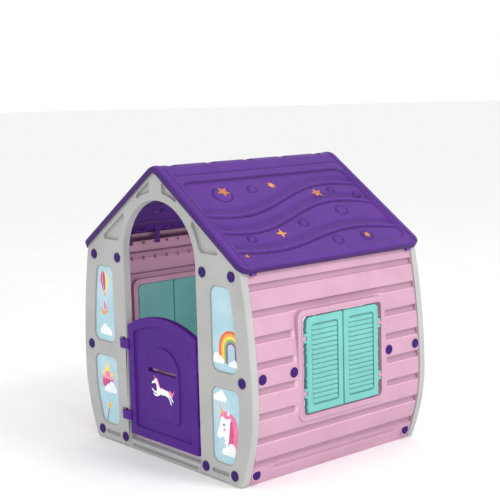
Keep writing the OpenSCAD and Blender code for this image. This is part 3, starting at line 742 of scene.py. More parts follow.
def put(name: str, mesh: bpy.types.Mesh, body: str, slot: str,
        *stands_for: str) -> bpy.types.Object:
    """Puts a mesh in the scene as a piece of the house.

    Args:
        name: The piece's name.
        mesh: Its mesh, in place.
        body: The body that it rides on.
        slot: The record's material slot; not used.
        stands_for: The solid nodes that it stands for.

    Returns:
        The object.
    """
    piece = bpy.data.objects.new(name, mesh)
    bpy.context.scene.collection.objects.link(piece)
    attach(piece, body)
    if stands_for:
        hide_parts(*stands_for)
    LOG.info("%s: %d faces, on %s", name, len(mesh.polygons), body)
    return piece


def put_moulding(name: str, shape: Shape, finish: Finish, body: str, *stands_for: str) -> None:
    """Puts a shape of one finish in the scene as a piece of the house."""
    put(name, shape.mesh(name, [finish]), body, finish.slot, *stands_for)


def thicken(skin: bpy.types.Object, thickness: float) -> None:
    """Gives an open skin its thickness, in millimetres, on its inner side."""
    shell = skin.modifiers.new("thickness", "SOLIDIFY")
    shell.thickness, shell.offset = thickness * MM, -1


# ---- geometry nodes


class Tree:
    """A Geometry Nodes tree with named inputs, built a node at a time."""

    def __init__(self, name: str, inputs: dict[str, str]) -> None:
        """Starts a tree.

        Args:
            name: The tree's name.
            inputs: The kind of each named input, such as Float or Vector.
        """
        self.group = bpy.data.node_groups.new(name, "GeometryNodeTree")
        face = self.group.interface
        face.new_socket("Geometry", in_out="INPUT", socket_type="NodeSocketGeometry")
        face.new_socket("Geometry", in_out="OUTPUT", socket_type="NodeSocketGeometry")
        for key, kind in inputs.items():
            face.new_socket(key, in_out="INPUT", socket_type=f"NodeSocket{kind}")
        self.source = self.group.nodes.new("NodeGroupInput").outputs
        self.output = self.group.nodes.new("NodeGroupOutput")

    def node(self, kind: str, inputs: Optional[dict] = None,
             **settings: Input) -> bpy.types.Node:
        """Adds a node with its inputs set or linked, and returns it."""
        return wired(self.group, kind, inputs, settings)

    def math(self, operation: str, *values: Input) -> Socket:
        """Adds a math node on values or sockets, and returns its result."""
        return self.node("ShaderNodeMath", dict(enumerate(values)), operation=operation).outputs[0]

    def fade(self, value: Input, start: Input, end: Input) -> Socket:
        """Adds a node that falls smoothly from 1 at start to 0 at end, and returns its result."""
        return self.node("ShaderNodeMapRange", {"Value": value, "From Min": start, "From Max": end,
                                                "To Min": 1.0, "To Max": 0.0},
                         interpolation_type="SMOOTHSTEP").outputs[0]

    def close(self, geometry: Socket) -> None:
        """Ends the tree with its real faces and its material."""
        real = self.node("GeometryNodeRealizeInstances", {0: geometry})
        done = self.node("GeometryNodeSetMaterial",
                         {"Geometry": real.outputs[0], "Material": self.source["Material"]})
        self.group.links.new(done.outputs[0], self.output.inputs[0])

    def run(self, mesh: bpy.types.Mesh, values: dict) -> bpy.types.Mesh:
        """Runs the tree on a mesh.

        Args:
            mesh: What goes in.
            values: A value for each named input.

        Returns:
            A plain mesh of the result.
        """
        holder = bpy.data.objects.new("tree_holder", mesh)
        bpy.context.scene.collection.objects.link(holder)
        modifier = holder.modifiers.new("tree", "NODES")
        modifier.node_group = self.group
        keys = {item.name: item.identifier for item in self.group.interface.items_tree
                if item.in_out == "INPUT"}
        for key, value in values.items():
            modifier[keys[key]] = value
        bpy.context.view_layer.update()
        graph = bpy.context.evaluated_depsgraph_get()
        result = bpy.data.meshes.new_from_object(holder.evaluated_get(graph), depsgraph=graph)
        holder.modifiers.remove(modifier)
        bpy.data.objects.remove(holder)
        shade_smooth(result, 50.0)
        return result


def scatter_tree() -> Tree:
    """A tree that sets a copy of a source piece on every point of a mesh, all turned one way."""
    tree = Tree("copies_on_points", {"Source": "Object", "Turn": "Vector", "Material": "Material"})
    source = tree.node("GeometryNodeObjectInfo", {"Object": tree.source["Source"]})
    turn = tree.node("FunctionNodeEulerToRotation", {0: tree.source["Turn"]})
    copies = tree.node("GeometryNodeInstanceOnPoints", {
        "Points": tree.source["Geometry"], "Instance": source.outputs["Geometry"],
        "Rotation": turn.outputs[0]})
    tree.close(copies.outputs[0])
    return tree


def row_tree() -> Tree:
    """A tree that repeats a source piece along a straight row."""
    tree = Tree("copies_in_a_row", {"Source": "Object", "Count": "Int", "Start": "Vector",
                                    "Step": "Vector", "Material": "Material"})
    line = tree.node("GeometryNodeMeshLine", {
        "Count": tree.source["Count"], "Start Location": tree.source["Start"],
        "Offset": tree.source["Step"]})
    source = tree.node("GeometryNodeObjectInfo", {"Object": tree.source["Source"]})
    copies = tree.node("GeometryNodeInstanceOnPoints", {
        "Points": line.outputs[0], "Instance": source.outputs["Geometry"]})
    tree.close(copies.outputs[0])
    return tree


def copies(tree: Tree, source: bpy.types.Mesh, finish: Finish, points: Sequence = (),
           **values: Input) -> bpy.types.Mesh:
    """Runs a tree that copies a source piece.

    Args:
        tree: The tree to run.
        source: The mesh that it copies.
        finish: The copies' finish.
        points: Where the copies stand, in millimetres, if the tree reads points.
        values: The tree's other inputs.

    Returns:
        A plain mesh of all the copies.
    """
    holder = bpy.data.objects.new("copy_source", source)
    bpy.context.scene.collection.objects.link(holder)
    seed = bpy.data.meshes.new("seed")
    if points:
        seed.from_pydata([[c * MM for c in point] for point in points], [], [])
    made = tree.run(seed, {"Source": holder, "Material": finish.material, **values})
    bpy.data.objects.remove(holder)
    return made


def joined(name: str, meshes: Sequence[bpy.types.Mesh]) -> bpy.types.Mesh:
    """Joins meshes into one and keeps their materials."""
    work, finishes = bmesh.new(), []
    for mesh in meshes:
        first = len(work.faces)
        work.from_mesh(mesh)
        work.faces.ensure_lookup_table()
        numbers = []
        for material in mesh.materials:
            if material not in finishes:
                finishes.append(material)
            numbers.append(finishes.index(material))
        for face in work.faces[first:]:
            face.material_index = numbers[face.material_index]
    mesh = bpy.data.meshes.new(name)
    work.to_mesh(mesh)
    work.free()
    for material in finishes:
        mesh.materials.append(material)
    return mesh


# ---- the house's measures


@dataclass(frozen=True)
class Measures:
    """The house's main sizes, in millimetres, read from the frame's boxes."""

    face_y: float
    back_y: float
    half_width: float
    doorway: float
    roof_half: float
    ridge: float
    eave_x: float
    screw_pitch: float
    bulge_z: float = 280.0
    foot_tuck: float = 69.0
    eave_tuck: float = 45.0
    foot_curve: float = 1.8
    eave_z: float = 735.0
    slope: float = math.radians(34.5)
    ridge_r: float = 60.0
    roof_skin: float = 3.0
    arch_drop: float = 342.0
    rail_rise: float = 23.0

    @classmethod
    def read(cls) -> "Measures":
        """Reads the sizes from the frame."""
        gable, roof, screws = (box_mm(n) for n in ("gable_front", "roof_right", "ridge_screws"))
        spread = screws[1].y - screws[0].y - 2 * SCREW_R
        return cls(face_y=-gable[0].y, back_y=-gable[1].y, half_width=gable[1].x,
                   doorway=box_mm("threshold")[1].x, roof_half=roof[1].y, ridge=roof[1].z,
                   eave_x=roof[1].x, screw_pitch=spread / (SCREWS - 1))

    def half_w(self, z: float) -> float:
        """Half width of the gables at a height."""
        if z < self.bulge_z:
            share = (self.bulge_z - z) / self.bulge_z
            return self.half_width - self.foot_tuck * share ** self.foot_curve
        share = (z - self.bulge_z) / (self.eave_z - self.bulge_z)
        return self.half_width - self.eave_tuck * share ** 2

    def roof_z(self, x: float, depth: float) -> float:
        """Height of a slope at a distance from the middle, at a depth below its top."""
        top = self.ridge - self.ridge_r + (self.ridge_r - depth) / math.cos(self.slope)
        return top - abs(x) * math.tan(self.slope)

    @property
    def arch_z(self) -> float:
        """Height at which the doorway arches spring."""
        return self.ridge - self.arch_drop

    @property
    def ridge_centre(self) -> float:
        """Height of the centre of the round ridge."""
        return self.ridge - self.ridge_r


# ---- gables and their prints


@dataclass
class Gable:
    """A gable panel: an upside-down U with recessed panels and ten bolt seats."""

    m: Measures
    end: str
    way: int
    hinge_side: bool
    panel_depth: float = 6.0
    roof_panel_depth: float = 12.0
    panel_round: float = 32.0
    panel_margin: float = 71.0
    upper: tuple[float, float, float] = (297.0, 396.0, 695.0)
    lower: tuple[float, float, float] = (290.0, 68.0, 340.0)
    seat_r: float = 21.0
    notch_inset: float = 29.0
    notch_half: float = 18.7
    bolt_edge: float = 50.0
    ear_r: float = 11.0

    def outline(self) -> np.ndarray:
        """The gable's anticlockwise outline, with the doorway open at the floor."""
        m, steps = self.m, 26
        top = m.eave_z
        while m.half_w(top) < m.half_w(0) * 2 and m.roof_z(m.half_w(top), m.roof_skin) > top:
            top += 0.5
        side = [(m.half_w(top * i / steps), top * i / steps, 0) for i in range(1, steps)]
        right = [(m.doorway, 0, 5), (m.half_w(0), 0, 12), *side, (m.half_w(top), top, 9)]
        bend = arc(0, m.ridge_centre, m.ridge_r - m.roof_skin, 90 - math.degrees(m.slope), 90, 10)
        right += [(x, z, 0) for x, z in bend]
        left = [(-x, z, r) for x, z, r in right[-2::-1]]
        arch = arc(0, m.arch_z, m.doorway, 180, 0, 48)
        return rounded(right + left + self.hinge_notches() + [(x, z, 0) for x, z in arch])

    def hinge_notches(self) -> list[tuple[float, float, float]]:
        """Notches in the left jamb that the door's lugs turn in."""
        if not self.hinge_side:
            return []
        low, high = box_mm("door_hinge_pins")
        edge, deep = -self.m.doorway, low.x - 8
        points = []
        for z in (low.z + self.notch_inset, high.z - self.notch_inset):
            for x, way in ((edge, -1), (deep, -1), (deep, 1), (edge, 1)):
                points.append((x, z + way * self.notch_half, 1))
        return points

    def sticker_loop(self, panel: tuple[float, float, float], side: int,
                     shrink: float = 0.0) -> np.ndarray:
        """The outline of a sticker panel of the right (1) or left (-1) column."""
        inner, low, high = panel
        edge = [(self.m.half_w(z) - self.panel_margin, z) for z in np.linspace(low, high, 7)]
        corner = self.panel_round
        points = [(inner, low, corner), (*edge[0], corner)]
        points += [(x, z, 0) for x, z in edge[2:-2]] + [(*edge[-1], corner), (inner, high, corner)]
        loop = rounded(points, 8)
        return grown(loop if side > 0 else mirrored(loop), -shrink)

    def roof_loop(self, depth: float, x0: float, x1: float, side: int) -> np.ndarray:
        """The outline of a triangular panel between the arch and the roof line."""
        m, ring, sill = self.m, self.m.doorway + 32, self.m.eave_z + 67
        tip, corner = 13.0, 6.0
        xs = np.linspace(x0, x1, 40)
        low = [max(sill, m.arch_z + math.sqrt(max(ring ** 2 - x ** 2, 0))) for x in xs]
        keep = [(x, z) for x, z in zip(xs, low) if m.roof_z(x, depth) - z > tip]
        bottom = [(x, z, 0) for x, z in keep[2:-2:3]]
        points = [(*keep[0], corner), *bottom, (*keep[-1], corner)]
        points += [(x, m.roof_z(x, depth), corner) for x in (keep[-1][0], keep[0][0])]
        loop = rounded(points)
        return loop if side > 0 else mirrored(loop)

    def bolt_places(self) -> list[tuple[float, float]]:
        """Places of the ten bolts, as the frame's bolt group has them."""
        m, mid, foot = self.m, 374.0, 38.0
        right = [(m.half_w(z) - self.bolt_edge, z) for z in (m.eave_z, mid, foot)]
        right[1:1] = [(m.doorway + 40, m.eave_z)]
        right.append((m.doorway + 30, foot))
        return right + [(-x, z) for x, z in right]

    def features(self) -> list[Feature]:
        """Everything moulded into the face."""
        made = []
        for side in (1, -1):
            for panel in (self.upper, self.lower):
                made.append(Feature(self.sticker_loop(panel, side), self.panel_depth, 3.5, 1.2))
            for depth, x0, x1 in ((33.0, 38.0, 160.0), (42.0, 205.0, 380.0)):
                loop = self.roof_loop(depth, x0, x1, side)
                made.append(Feature(loop, self.roof_panel_depth, 4.0, 7.8))
            # Slots by the foot, with painted shade on their walls and floor.
            u0, u1 = sorted(side * (self.m.doorway + u) for u in (66, 158))
            made.append(Feature(rectangle(u0, 28, u1, 42, 6), 4.5, 1.5, 1.5,
                                shade=0.6, dark_floor=True))
        made += [Feature(circle(x, z, self.seat_r), 1.6, 1.2, 0.6) for x, z in self.bolt_places()]
        return made

    def build(self) -> None:
        """Builds the panel and puts it in the scene."""
        m, shape = self.m, Shape()
        place = facing(-m.face_y, self.way)
        shape.panel(place, self.outline(), m.face_y - m.back_y, 6.0, 2.0, self.features())
        if not self.hinge_side:
            self.gate_ear(shape)
        put_moulding(f"gable_{self.end}_moulding", shape, Finish.GREY, "house",
                     f"gable_{self.end}")

    def gate_ear(self, shape: Shape) -> None:
        """Adds the ear that holds the top of the gate's pin."""
        (x, y), r, root = pin_axis("gate_hinge_pins"), self.ear_r, -self.m.doorway - 3
        tip = [(u, v, 0) for u, v in arc(x, y, r, -90, 90, 12)]
        loop = rounded([(root, y - r, 0), *tip, (root, y + r, 0)])
        shape.panel(upright(box_mm("gate")[1].z + 1), loop, 8.0, 2.0, 2.0)


class Paper:
    """A stack of thin printed shapes on one sticker."""

    LAYER = 0.03
    PUFFS = ((-0.62, 0.16, 0.30), (-0.22, 0.42, 0.42), (0.24, 0.26, 0.34), (0.62, 0.12, 0.24))

    def __init__(self, place: Place, window: np.ndarray, depth: float) -> None:
        """Starts the stack.

        Args:
            place: Turns outline points and depths into space.
            window: The sticker's convex outline.
            depth: Depth of the sticker's surface.
        """
        self.place, self.window, self.depth = place, window, depth
        self.shape = Shape()
        self.finishes: list[Finish] = []
        self.level = 0
        self.origin, self.size = np.zeros(2), 1.0

    def move(self, u: float, v: float, size: float = 1.0) -> None:
        """Sets where the next outlines are measured from, and their scale."""
        self.origin, self.size = np.array([u, v]), size

    def ink(self, finish: Finish, *loops: Sequence) -> None:
        """Prints outlines in one colour, above all that is there."""
        if finish not in self.finishes:
            self.finishes.append(finish)
        self.shape.slot = self.finishes.index(finish)
        for loop in loops:
            self.level += 1
            cut = clipped(self.origin + self.size * np.array(loop, float), self.window)
            if len(cut) < 3 or abs(area(cut)) < 1:
                continue
            keep = np.linalg.norm(cut - np.roll(cut, 1, 0), axis=1) > 0.02
            cut = cut[keep] if area(cut) > 0 else cut[keep][::-1]
            front = self.depth - self.LAYER * self.level
            rings = [(self.shape.add(self.place(cut[:, 0], cut[:, 1], np.full(len(cut), z))), cut)
                     for z in (front, self.depth)]
            self.shape.bridge(rings[0][0], rings[1][0])
            for ring in rings:
                self.shape.fill(ring)

    def cloud(self, u: float, v: float, size: float, flip: int = 1) -> None:
        """Prints a cloud of round puffs on a flat base."""
        self.move(u, v, size)
        self.ink(Finish.WHITE, *(circle(flip * a, b, r, 20) for a, b, r in self.PUFFS))
        self.ink(Finish.WHITE, rectangle(-0.92, -0.14, 0.86, 0.16, 0.14))


class Scene(Enum):
    """The four printed scenes of a gable."""

    BALLOON = "balloon"
    CASTLE = "castle"
    RAINBOW = "rainbow"
    PONY = "pony"


@dataclass
class GablePrints:
    """The printed films of one gable."""

    gable: Gable
    film_front: float = 5.6
    film: float = 0.38

    def build(self) -> None:
        """Prints the four films and puts them in the scene."""
        meshes = []
        g = self.gable
        scenes = {(g.upper, -1): Scene.BALLOON, (g.lower, -1): Scene.CASTLE,
                  (g.upper, 1): Scene.RAINBOW, (g.lower, 1): Scene.PONY}
        for (panel, side), scene in scenes.items():
            window = g.sticker_loop(panel, side, 3.0)
            film = Shape()
            film.panel(facing(self.film_front - g.m.face_y, g.way), window, self.film, 0.12, 0.1)
            meshes.append(film.mesh("film", [Finish.SKY]))
            place = facing(-g.m.face_y, g.way)
            paper = Paper(place, grown(window, -0.4), self.film_front + 0.01)
            getattr(self, scene.value)(paper, window.mean(0))
            meshes.append(paper.shape.mesh("print", paper.finishes, sharp=20))
        name = f"sticker_prints_{g.end}"
        put(name, joined(name, meshes), "house", Finish.SKY.slot, f"stickers_{g.end}")

    @staticmethod
    def balloon(paper: Paper, centre: np.ndarray) -> None:
        """A striped balloon over a moon boat and a cloud."""
        paper.move(*(centre + [2, 82]))
        for finish, points in (
                (Finish.YELLOW, [(-26, 6), (-18, 34), (0, 44), (18, 34), (26, 6), (9, -34),
                                 (-9, -34)]),
                (Finish.DEEP_ROSE, [(-26, 6), (-18, 34), (-4, 43), (-12, 6), (-5, -34),
                                    (-10, -33)]),
                (Finish.VIOLET, [(-10, 6), (0, 43), (9, 6), (0, -35)])):
            paper.ink(finish, blob(points))
        paper.ink(Finish.ORANGE, rectangle(-7, -52, 7, -41, 3))
        paper.move(*(centre + [-4, -22]))
        hull, deck = arc(0, 0, 24, 160, 380, 20), arc(0, 11, 21, 375, 165, 18)
        paper.ink(Finish.ORANGE, [*hull, *deck])
        paper.ink(Finish.DEEP_ROSE, rectangle(-1.5, -8, 1.5, 30, 1))
        paper.ink(Finish.ROSE, [(19, 2), (2, 0), (2, 30)])
        paper.cloud(*(centre + [4, -118]), 44)

    @staticmethod
    def castle(paper: Paper, centre: np.ndarray) -> None:
        """A small castle on a cloud, and a wand with a star."""
        paper.move(*(centre + [-2, 46]))
        for u, width, top in ((-30, 19, 8), (30, 19, 8), (0, 30, 26)):
            paper.ink(Finish.ROSE, rectangle(u - width / 2, -32, u + width / 2, top, 0.8))
        paper.ink(Finish.DEEP_ROSE, rectangle(-34, -38, 34, -6, 1))
        for u, half, top in ((-30, 12, 8), (30, 12, 8), (0, 18, 26)):
            paper.ink(Finish.YELLOW, [(u - half, top), (u + half, top), (u, top + 2.1 * half)])
        paper.ink(Finish.VIOLET, [*arc(0, -20, 9, 0, 180, 10), (-9, -38), (9, -38)])
        for u in (-30, 0, 30):
            paper.ink(Finish.WHITE, circle(u, 2, 3, 12))
        paper.cloud(*(centre + [14, -4]), 46, -1)
        paper.move(*(centre + [4, -64]))
        paper.ink(Finish.VIOLET, [(-24, -66), (-20, -68), (2, 0), (-2, 0)])
        paper.ink(Finish.YELLOW, star(19, turn=75))
        paper.ink(Finish.ORANGE, star(9, turn=75))

    @staticmethod
    def rainbow(paper: Paper, centre: np.ndarray) -> None:
        """A rainbow that rises from a cloud."""
        paper.move(*(centre + [36, -66]))
        inks = (Finish.RED, Finish.ORANGE, Finish.YELLOW, Finish.GREEN, Finish.VIOLET)
        outer, width, leg = 66.0, 9.5, 52.0
        for i, finish in enumerate(inks):
            big, small = outer - i * width, outer - (i + 1) * width
            paper.ink(finish, [(big, -leg), *arc(0, 0, big, 0, 180, 30), (-big, -leg),
                               (-small, -leg), *arc(0, 0, small, 180, 0, 30), (small, -leg)])
        paper.cloud(*(centre + [-34, -116]), 38)
        paper.cloud(*(centre + [46, -122]), 28, -1)

    @staticmethod
    def pony(paper: Paper, centre: np.ndarray) -> None:
        """A pony's head with a horn and a long mane, between two clouds."""
        paper.cloud(*(centre + [-30, 92]), 40, -1)
        head = centre + [-8, 2]
        paper.move(*head, 1.22)
        for finish, points in (
                (Finish.ROSE, [(-2, 38), (24, 42), (50, 24), (62, -16), (66, -60), (48, -84),
                               (34, -70), (36, -30), (20, 4)]),
                (Finish.WHITE, [(-36, -30), (-24, -6), (-14, 22), (8, 34), (30, 20), (34, -18),
                                (26, -66), (2, -54), (-4, -32), (-26, -42)]),
                (Finish.DEEP_ROSE, [(28, 20), (40, -12), (34, -48), (16, -78), (2, -74),
                                    (14, -52), (20, -18)]),
                (Finish.ROSE, [(-22, 18), (-14, 36), (12, 41), (24, 26), (4, 20), (-8, 26)])):
            paper.ink(finish, blob(points))
        paper.ink(Finish.ORANGE, [(-14, 32), (-3, 38), (-24, 64)])
        paper.ink(Finish.WHITE, [(10, 34), (22, 30), (22, 48)])
        paper.move(*head)
        paper.ink(Finish.INK, circle(-4, 2, 4.6, 14))
        paper.ink(Finish.ROSE, circle(-2, -15, 5.4, 14))
        paper.ink(Finish.DEEP_ROSE, circle(-35, -40, 1.6, 10))
        paper.cloud(*(centre + [18, -96]), 48, -1)


# ---- side walls


BOARD_SECTION = ((0.0, 0.30), (0.02, 0.52), (0.05, 0.80), (0.10, 0.93), (0.20, 1.0),
                 (0.27, 0.97), (0.298, 0.10), (0.325, 0.0), (0.94, 0.0), (0.975, 0.07),
                 (1.0, 0.30))


def clapboard_tree() -> Tree:
    """A tree that moulds a wall's skin: boards at a pitch on a bowed outline, with a window."""
    numbers = ["Half Width", "Inset", "Top", "Length", "Bulge Height", "Foot Tuck", "Foot Curve",
               "Eave Tuck", "Eave Height", "First Board", "Pitch", "Groove", "Side", "Hole Half",
               "Hole Low", "Hole High", "Margin", "Slot Height", "Slot Half", "Slot Depth"]
    inputs = {n: "Float" for n in numbers}
    inputs.update({"Rows": "Int", "Columns": "Int", "Material": "Material"})
    tree = Tree("clapboard_wall", inputs)
    source = tree.source
    top, bulge, first, groove, low, high, side_half = (source[n] for n in (
        "Top", "Bulge Height", "First Board", "Groove", "Hole Low", "Hole High", "Hole Half"))
    plus, minus, times, ratio, largest, power, size, is_over, is_under = (
        partial(tree.math, operation) for operation in
        ("ADD", "SUBTRACT", "MULTIPLY", "DIVIDE", "MAXIMUM", "POWER", "ABSOLUTE", "GREATER_THAN",
         "LESS_THAN"))
    grid = tree.node("GeometryNodeMeshGrid", {"Size X": top, "Size Y": source["Length"],
                                              "Vertices X": source["Rows"],
                                              "Vertices Y": source["Columns"]})
    position = tree.node("GeometryNodeInputPosition").outputs[0]
    place = tree.node("ShaderNodeSeparateXYZ", {0: position}).outputs
    z = plus(place[0], times(top, 0.5))

    # The bowed outline that the wall shares with the gables.
    below = largest(ratio(minus(bulge, z), bulge), 0.0)
    foot = times(power(below, source["Foot Curve"]), source["Foot Tuck"])
    span = minus(source["Eave Height"], bulge)
    above = largest(ratio(minus(z, bulge), span), 0.0)
    eave = times(power(above, 2.0), source["Eave Tuck"])
    half = minus(minus(source["Half Width"], source["Inset"]), plus(foot, eave))

    # The section of one board: its groove, then its face.
    share = tree.math("FRACT", ratio(minus(z, first), source["Pitch"]))
    curve = tree.node("ShaderNodeFloatCurve", {"Value": share})
    line = curve.mapping.curves[0]
    for at, value in BOARD_SECTION[1:-1]:
        line.points.new(at, value)
    line.points[0].location = BOARD_SECTION[0]
    line.points[len(line.points) - 1].location = BOARD_SECTION[-1]
    for point in line.points:
        point.handle_type = "VECTOR"
    curve.mapping.update()

    # Grooves stop above the plain foot and beside the window.
    boards = is_over(z, first)
    aside = size(place[1])
    clear = plus(side_half, source["Margin"])
    beside = tree.fade(aside, clear, plus(clear, 0.012))
    over = tree.fade(z, high, plus(high, 0.02))
    under = tree.fade(times(z, -1.0), times(low, -1.0), minus(0.02, low))
    flat = times(beside, times(over, under))
    depth = times(times(curve.outputs[0], groove), times(boards, minus(1.0, flat)))
    off = size(minus(z, source["Slot Height"]))
    slot = times(tree.fade(off, 0.004, 0.0095),
                 tree.fade(aside, minus(source["Slot Half"], 0.012), source["Slot Half"]))
    depth = plus(depth, times(slot, source["Slot Depth"]))
    x = times(minus(half, depth), source["Side"])
    new = tree.node("ShaderNodeCombineXYZ", {0: x, 1: place[1], 2: z})

    # Painted shade darkens the grooves and painted highlight lightens the lips of the boards.
    deep = ratio(depth, groove)
    lip = times(tree.fade(size(minus(deep, 0.26)), 0.06, 0.24),
                is_over(size(minus(share, 0.6)), 0.33))
    hollow = minus(times(deep, 0.38), times(times(lip, boards), 0.85))
    marked = tree.node("GeometryNodeStoreNamedAttribute",
                       {"Geometry": grid.outputs[0], "Name": PAINTED_SHADING, "Value": hollow})
    moved = tree.node("GeometryNodeSetPosition", {"Geometry": marked.outputs[0],
                                                  "Position": new.outputs[0]})

    # The window's opening.
    position = tree.node("GeometryNodeInputPosition").outputs[0]
    spot = tree.node("ShaderNodeSeparateXYZ", {0: position}).outputs
    inside = times(is_under(size(spot[1]), side_half),
                   times(is_over(spot[2], low), is_under(spot[2], high)))
    cut = tree.node("GeometryNodeDeleteGeometry", {"Geometry": moved.outputs[0],
                                                   "Selection": inside}, domain="FACE")
    tree.close(cut.outputs[0])
    return tree


@dataclass
class SideWall:
    """A bowed clapboard wall with its window frame, end flanges and top rail."""

    m: Measures
    end: str
    side: int
    tree: Tree
    row: Tree
    inset: float = 4.0
    pitch: float = 87.8
    first: float = 68.0
    groove: float = 13.0
    skin: float = 3.0
    window_z: tuple[float, float] = (222.0, 574.0)
    window_half: float = 196.0
    border: float = 22.0
    frame_depth: float = 38.0
    lip_width: float = 7.0
    lip_rise: float = 1.6
    rail_width: float = 38.0

    def out(self, z: float) -> float:
        """Distance of the boards' faces from the middle, at a height."""
        return self.m.half_w(z) - self.inset

    def roof_top(self) -> float:
        """Height at which the wall meets the underside of the roof."""
        z = self.m.eave_z
        while self.m.roof_z(self.out(z), self.m.roof_skin) > z:
            z += 0.5
        return z - 1.0

    def boards(self) -> bpy.types.Mesh:
        """Moulds the skin with the tree, its faces turned outwards."""
        m, top = self.m, self.roof_top()
        hole = self.border / 2
        values = {
            "Half Width": m.half_width, "Inset": self.inset, "Top": top, "Length": 2 * m.back_y - 1,
            "Bulge Height": m.bulge_z, "Foot Tuck": m.foot_tuck, "Eave Tuck": m.eave_tuck,
            "Eave Height": m.eave_z, "First Board": self.first, "Pitch": self.pitch,
            "Groove": self.groove, "Hole Half": self.window_half + hole,
            "Hole Low": self.window_z[0] - hole, "Hole High": self.window_z[1] + hole,
            "Margin": 18.0, "Slot Height": 52.0, "Slot Half": 312.0, "Slot Depth": 5.0}
        values = {key: float(value * MM) for key, value in values.items()}
        values.update({"Foot Curve": m.foot_curve, "Side": float(self.side),
                       "Rows": int(top / 1.4), "Columns": 111,
                       "Material": Finish.PINK.material})
        mesh = self.tree.run(bpy.data.meshes.new("seed"), values)
        if self.side * mesh.polygons[0].normal.x < 0:
            mesh.flip_normals()
        return mesh

    def bolt_rings(self, shape: Shape) -> None:
        """Adds the raised rings around the bolts."""
        section = ((17, -3), (18.8, 2.0), (21.6, 2.1), (23.4, -3))
        for y, z in self.bolt_places():
            place, loops = sideways(self.out(z), self.side), []
            for r, rise in section:
                ring = circle(y, z, r)
                loops.append(shape.add(place(ring[:, 0], ring[:, 1], np.full(len(ring), -rise))))
            for first, second in zip(loops, loops[1:] + loops[:1]):
                shape.bridge(first, second)

    def bolt_places(self) -> list[tuple[float, float]]:
        """Places of the six bolts: along the wall, and height."""
        mid, foot = 386.0, 40.0
        near = [(self.m.face_y - 52, mid), (self.window_half + self.border + 21, mid),
                (self.m.face_y - 58, foot)]
        return near + [(-y, z) for y, z in near]

    def window(self, shape: Shape) -> None:
        """Adds the raised frame of the window, with a lip around the opening."""
        (low, high), half = self.window_z, self.window_half
        outer, lip, edge = (rectangle(-half - b, low - b, half + b, high + b, r, 8)
                            for b, r in ((self.border, 30), (self.lip_width, 21), (0, 16)))
        step = Feature(lip, -self.lip_rise, 1.2, 1.2, [Feature(edge, None, 2.0, 2.0)])
        shape.panel(sideways(WINDOW_X - self.lip_rise, self.side), outer,
                    self.frame_depth - self.lip_rise, 4.5, 2.0, [step])

    def knuckles(self, shape: Shape) -> None:
        """Adds the hinge knuckles that hold the shutter pins."""
        ax, ay, r, h = WINDOW_X - 7, self.window_half - 9, 7.0, 14.0
        for way in (1, -1):
            for z in HINGE_Z:
                loop = [(u, v, 0) for u, v in arc(0, 0, r, 180, 360, 12)]
                loop += [(0.6 * r, 10.5, 2), (-r, 10.5, 0)]
                place = laid("uvd", (ax, ay, z - h / 2), (self.side, way, 1))
                shape.panel(place, rounded(loop), h, 1.2, 1.2)

    def flanges(self, shape: Shape) -> None:
        """Adds the flanges that turn in behind both gables, with a raised band for each board."""
        m, steps, inner = self.m, 18, self.m.doorway + 3
        top = m.eave_z + m.rail_rise + 1
        edge = [(self.out(top * i / steps) - 3, top * i / steps, 0) for i in range(steps + 1)]
        loop = rounded([(inner, 0, 3), *edge, (inner, top, 3)])
        bands = []
        for i in range(1, 8):
            high = self.first + i * self.pitch
            low = high - 0.68 * self.pitch
            outer = self.out(high) - self.groove - 2
            bands.append(Feature(rectangle(inner + 7, low, outer, min(high, top - 7), 6), -3.0,
                                 2.0, 2.0))
        for way in (1, -1):
            place = laid("udv", (0, m.back_y - 3, 0), (self.side, way, 1))
            shape.panel(place, loop, 2.8, 0.6, 0.4, bands)

    def rail(self, shape: Shape) -> None:
        """Adds the rail along the top of the wall."""
        z, end = self.m.eave_z + self.m.rail_rise, self.m.back_y - 4
        x = self.out(z) - self.skin
        loop = rectangle(x - self.rail_width, -end, x + 1, end, 2)
        shape.panel(laid("uvD", (0, 0, z + 3), (self.side, 1, 1)), loop, 3.0, 1.0, 1.0)

    def ribs(self) -> bpy.types.Mesh:
        """Repeats the small ribs under the rail, in two rows."""
        z, pitch, count = self.m.eave_z + self.m.rail_rise, 58.0, 13
        x, rib = self.out(z) - self.skin, Shape()
        place = laid("udv", (0, -1.5, 0), (self.side, 1, 1))
        for loop in (rectangle(x - 13, z - 17, x + 1.5, z + 1, 3),
                     rectangle(x - 7, z - 82, x + 4, z - 66, 3)):
            rib.panel(place, loop, 3, 0.8, 0.8)
        return copies(self.row, rib.mesh("rib", [Finish.PINK]), Finish.PINK, Count=count,
                      Start=(0.0, -(count - 1) / 2 * pitch * MM, 0.0),
                      Step=(0.0, pitch * MM, 0.0))

    def build(self) -> None:
        """Builds the wall and puts it in the scene as a skin and its trim."""
        node = f"side_wall_{self.end}"
        name = node + "_boards"
        skin = put(name, self.boards(), "house", Finish.PINK.slot, node)
        thicken(skin, self.skin)
        shape = Shape()
        for part in (self.bolt_rings, self.window, self.knuckles, self.flanges, self.rail):
            part(shape)
        trim = joined(name + "_trim", [shape.mesh("trim", [Finish.PINK]), self.ribs()])
        put(name + "_trim", trim, "house", Finish.PINK.slot)


# ---- roof


@dataclass(frozen=True)
class Wave:
    """A moulded wave line: its distance down the slope follows a sine along the ridge."""

    mean: float
    swing: float
    centre: float
    half_length: float

    def down(self, y: np.ndarray) -> np.ndarray:
        """Distance down the slope at places along the ridge."""
        return self.mean - self.swing * np.sin(np.pi * (y - self.centre) / self.half_length)


def smooth(value: np.ndarray, low: float, high: float) -> np.ndarray:
    """Rises smoothly from 0 at low to 1 at high."""
    t = np.clip((value - low) / (high - low), 0, 1)
    return t * t * (3 - 2 * t)


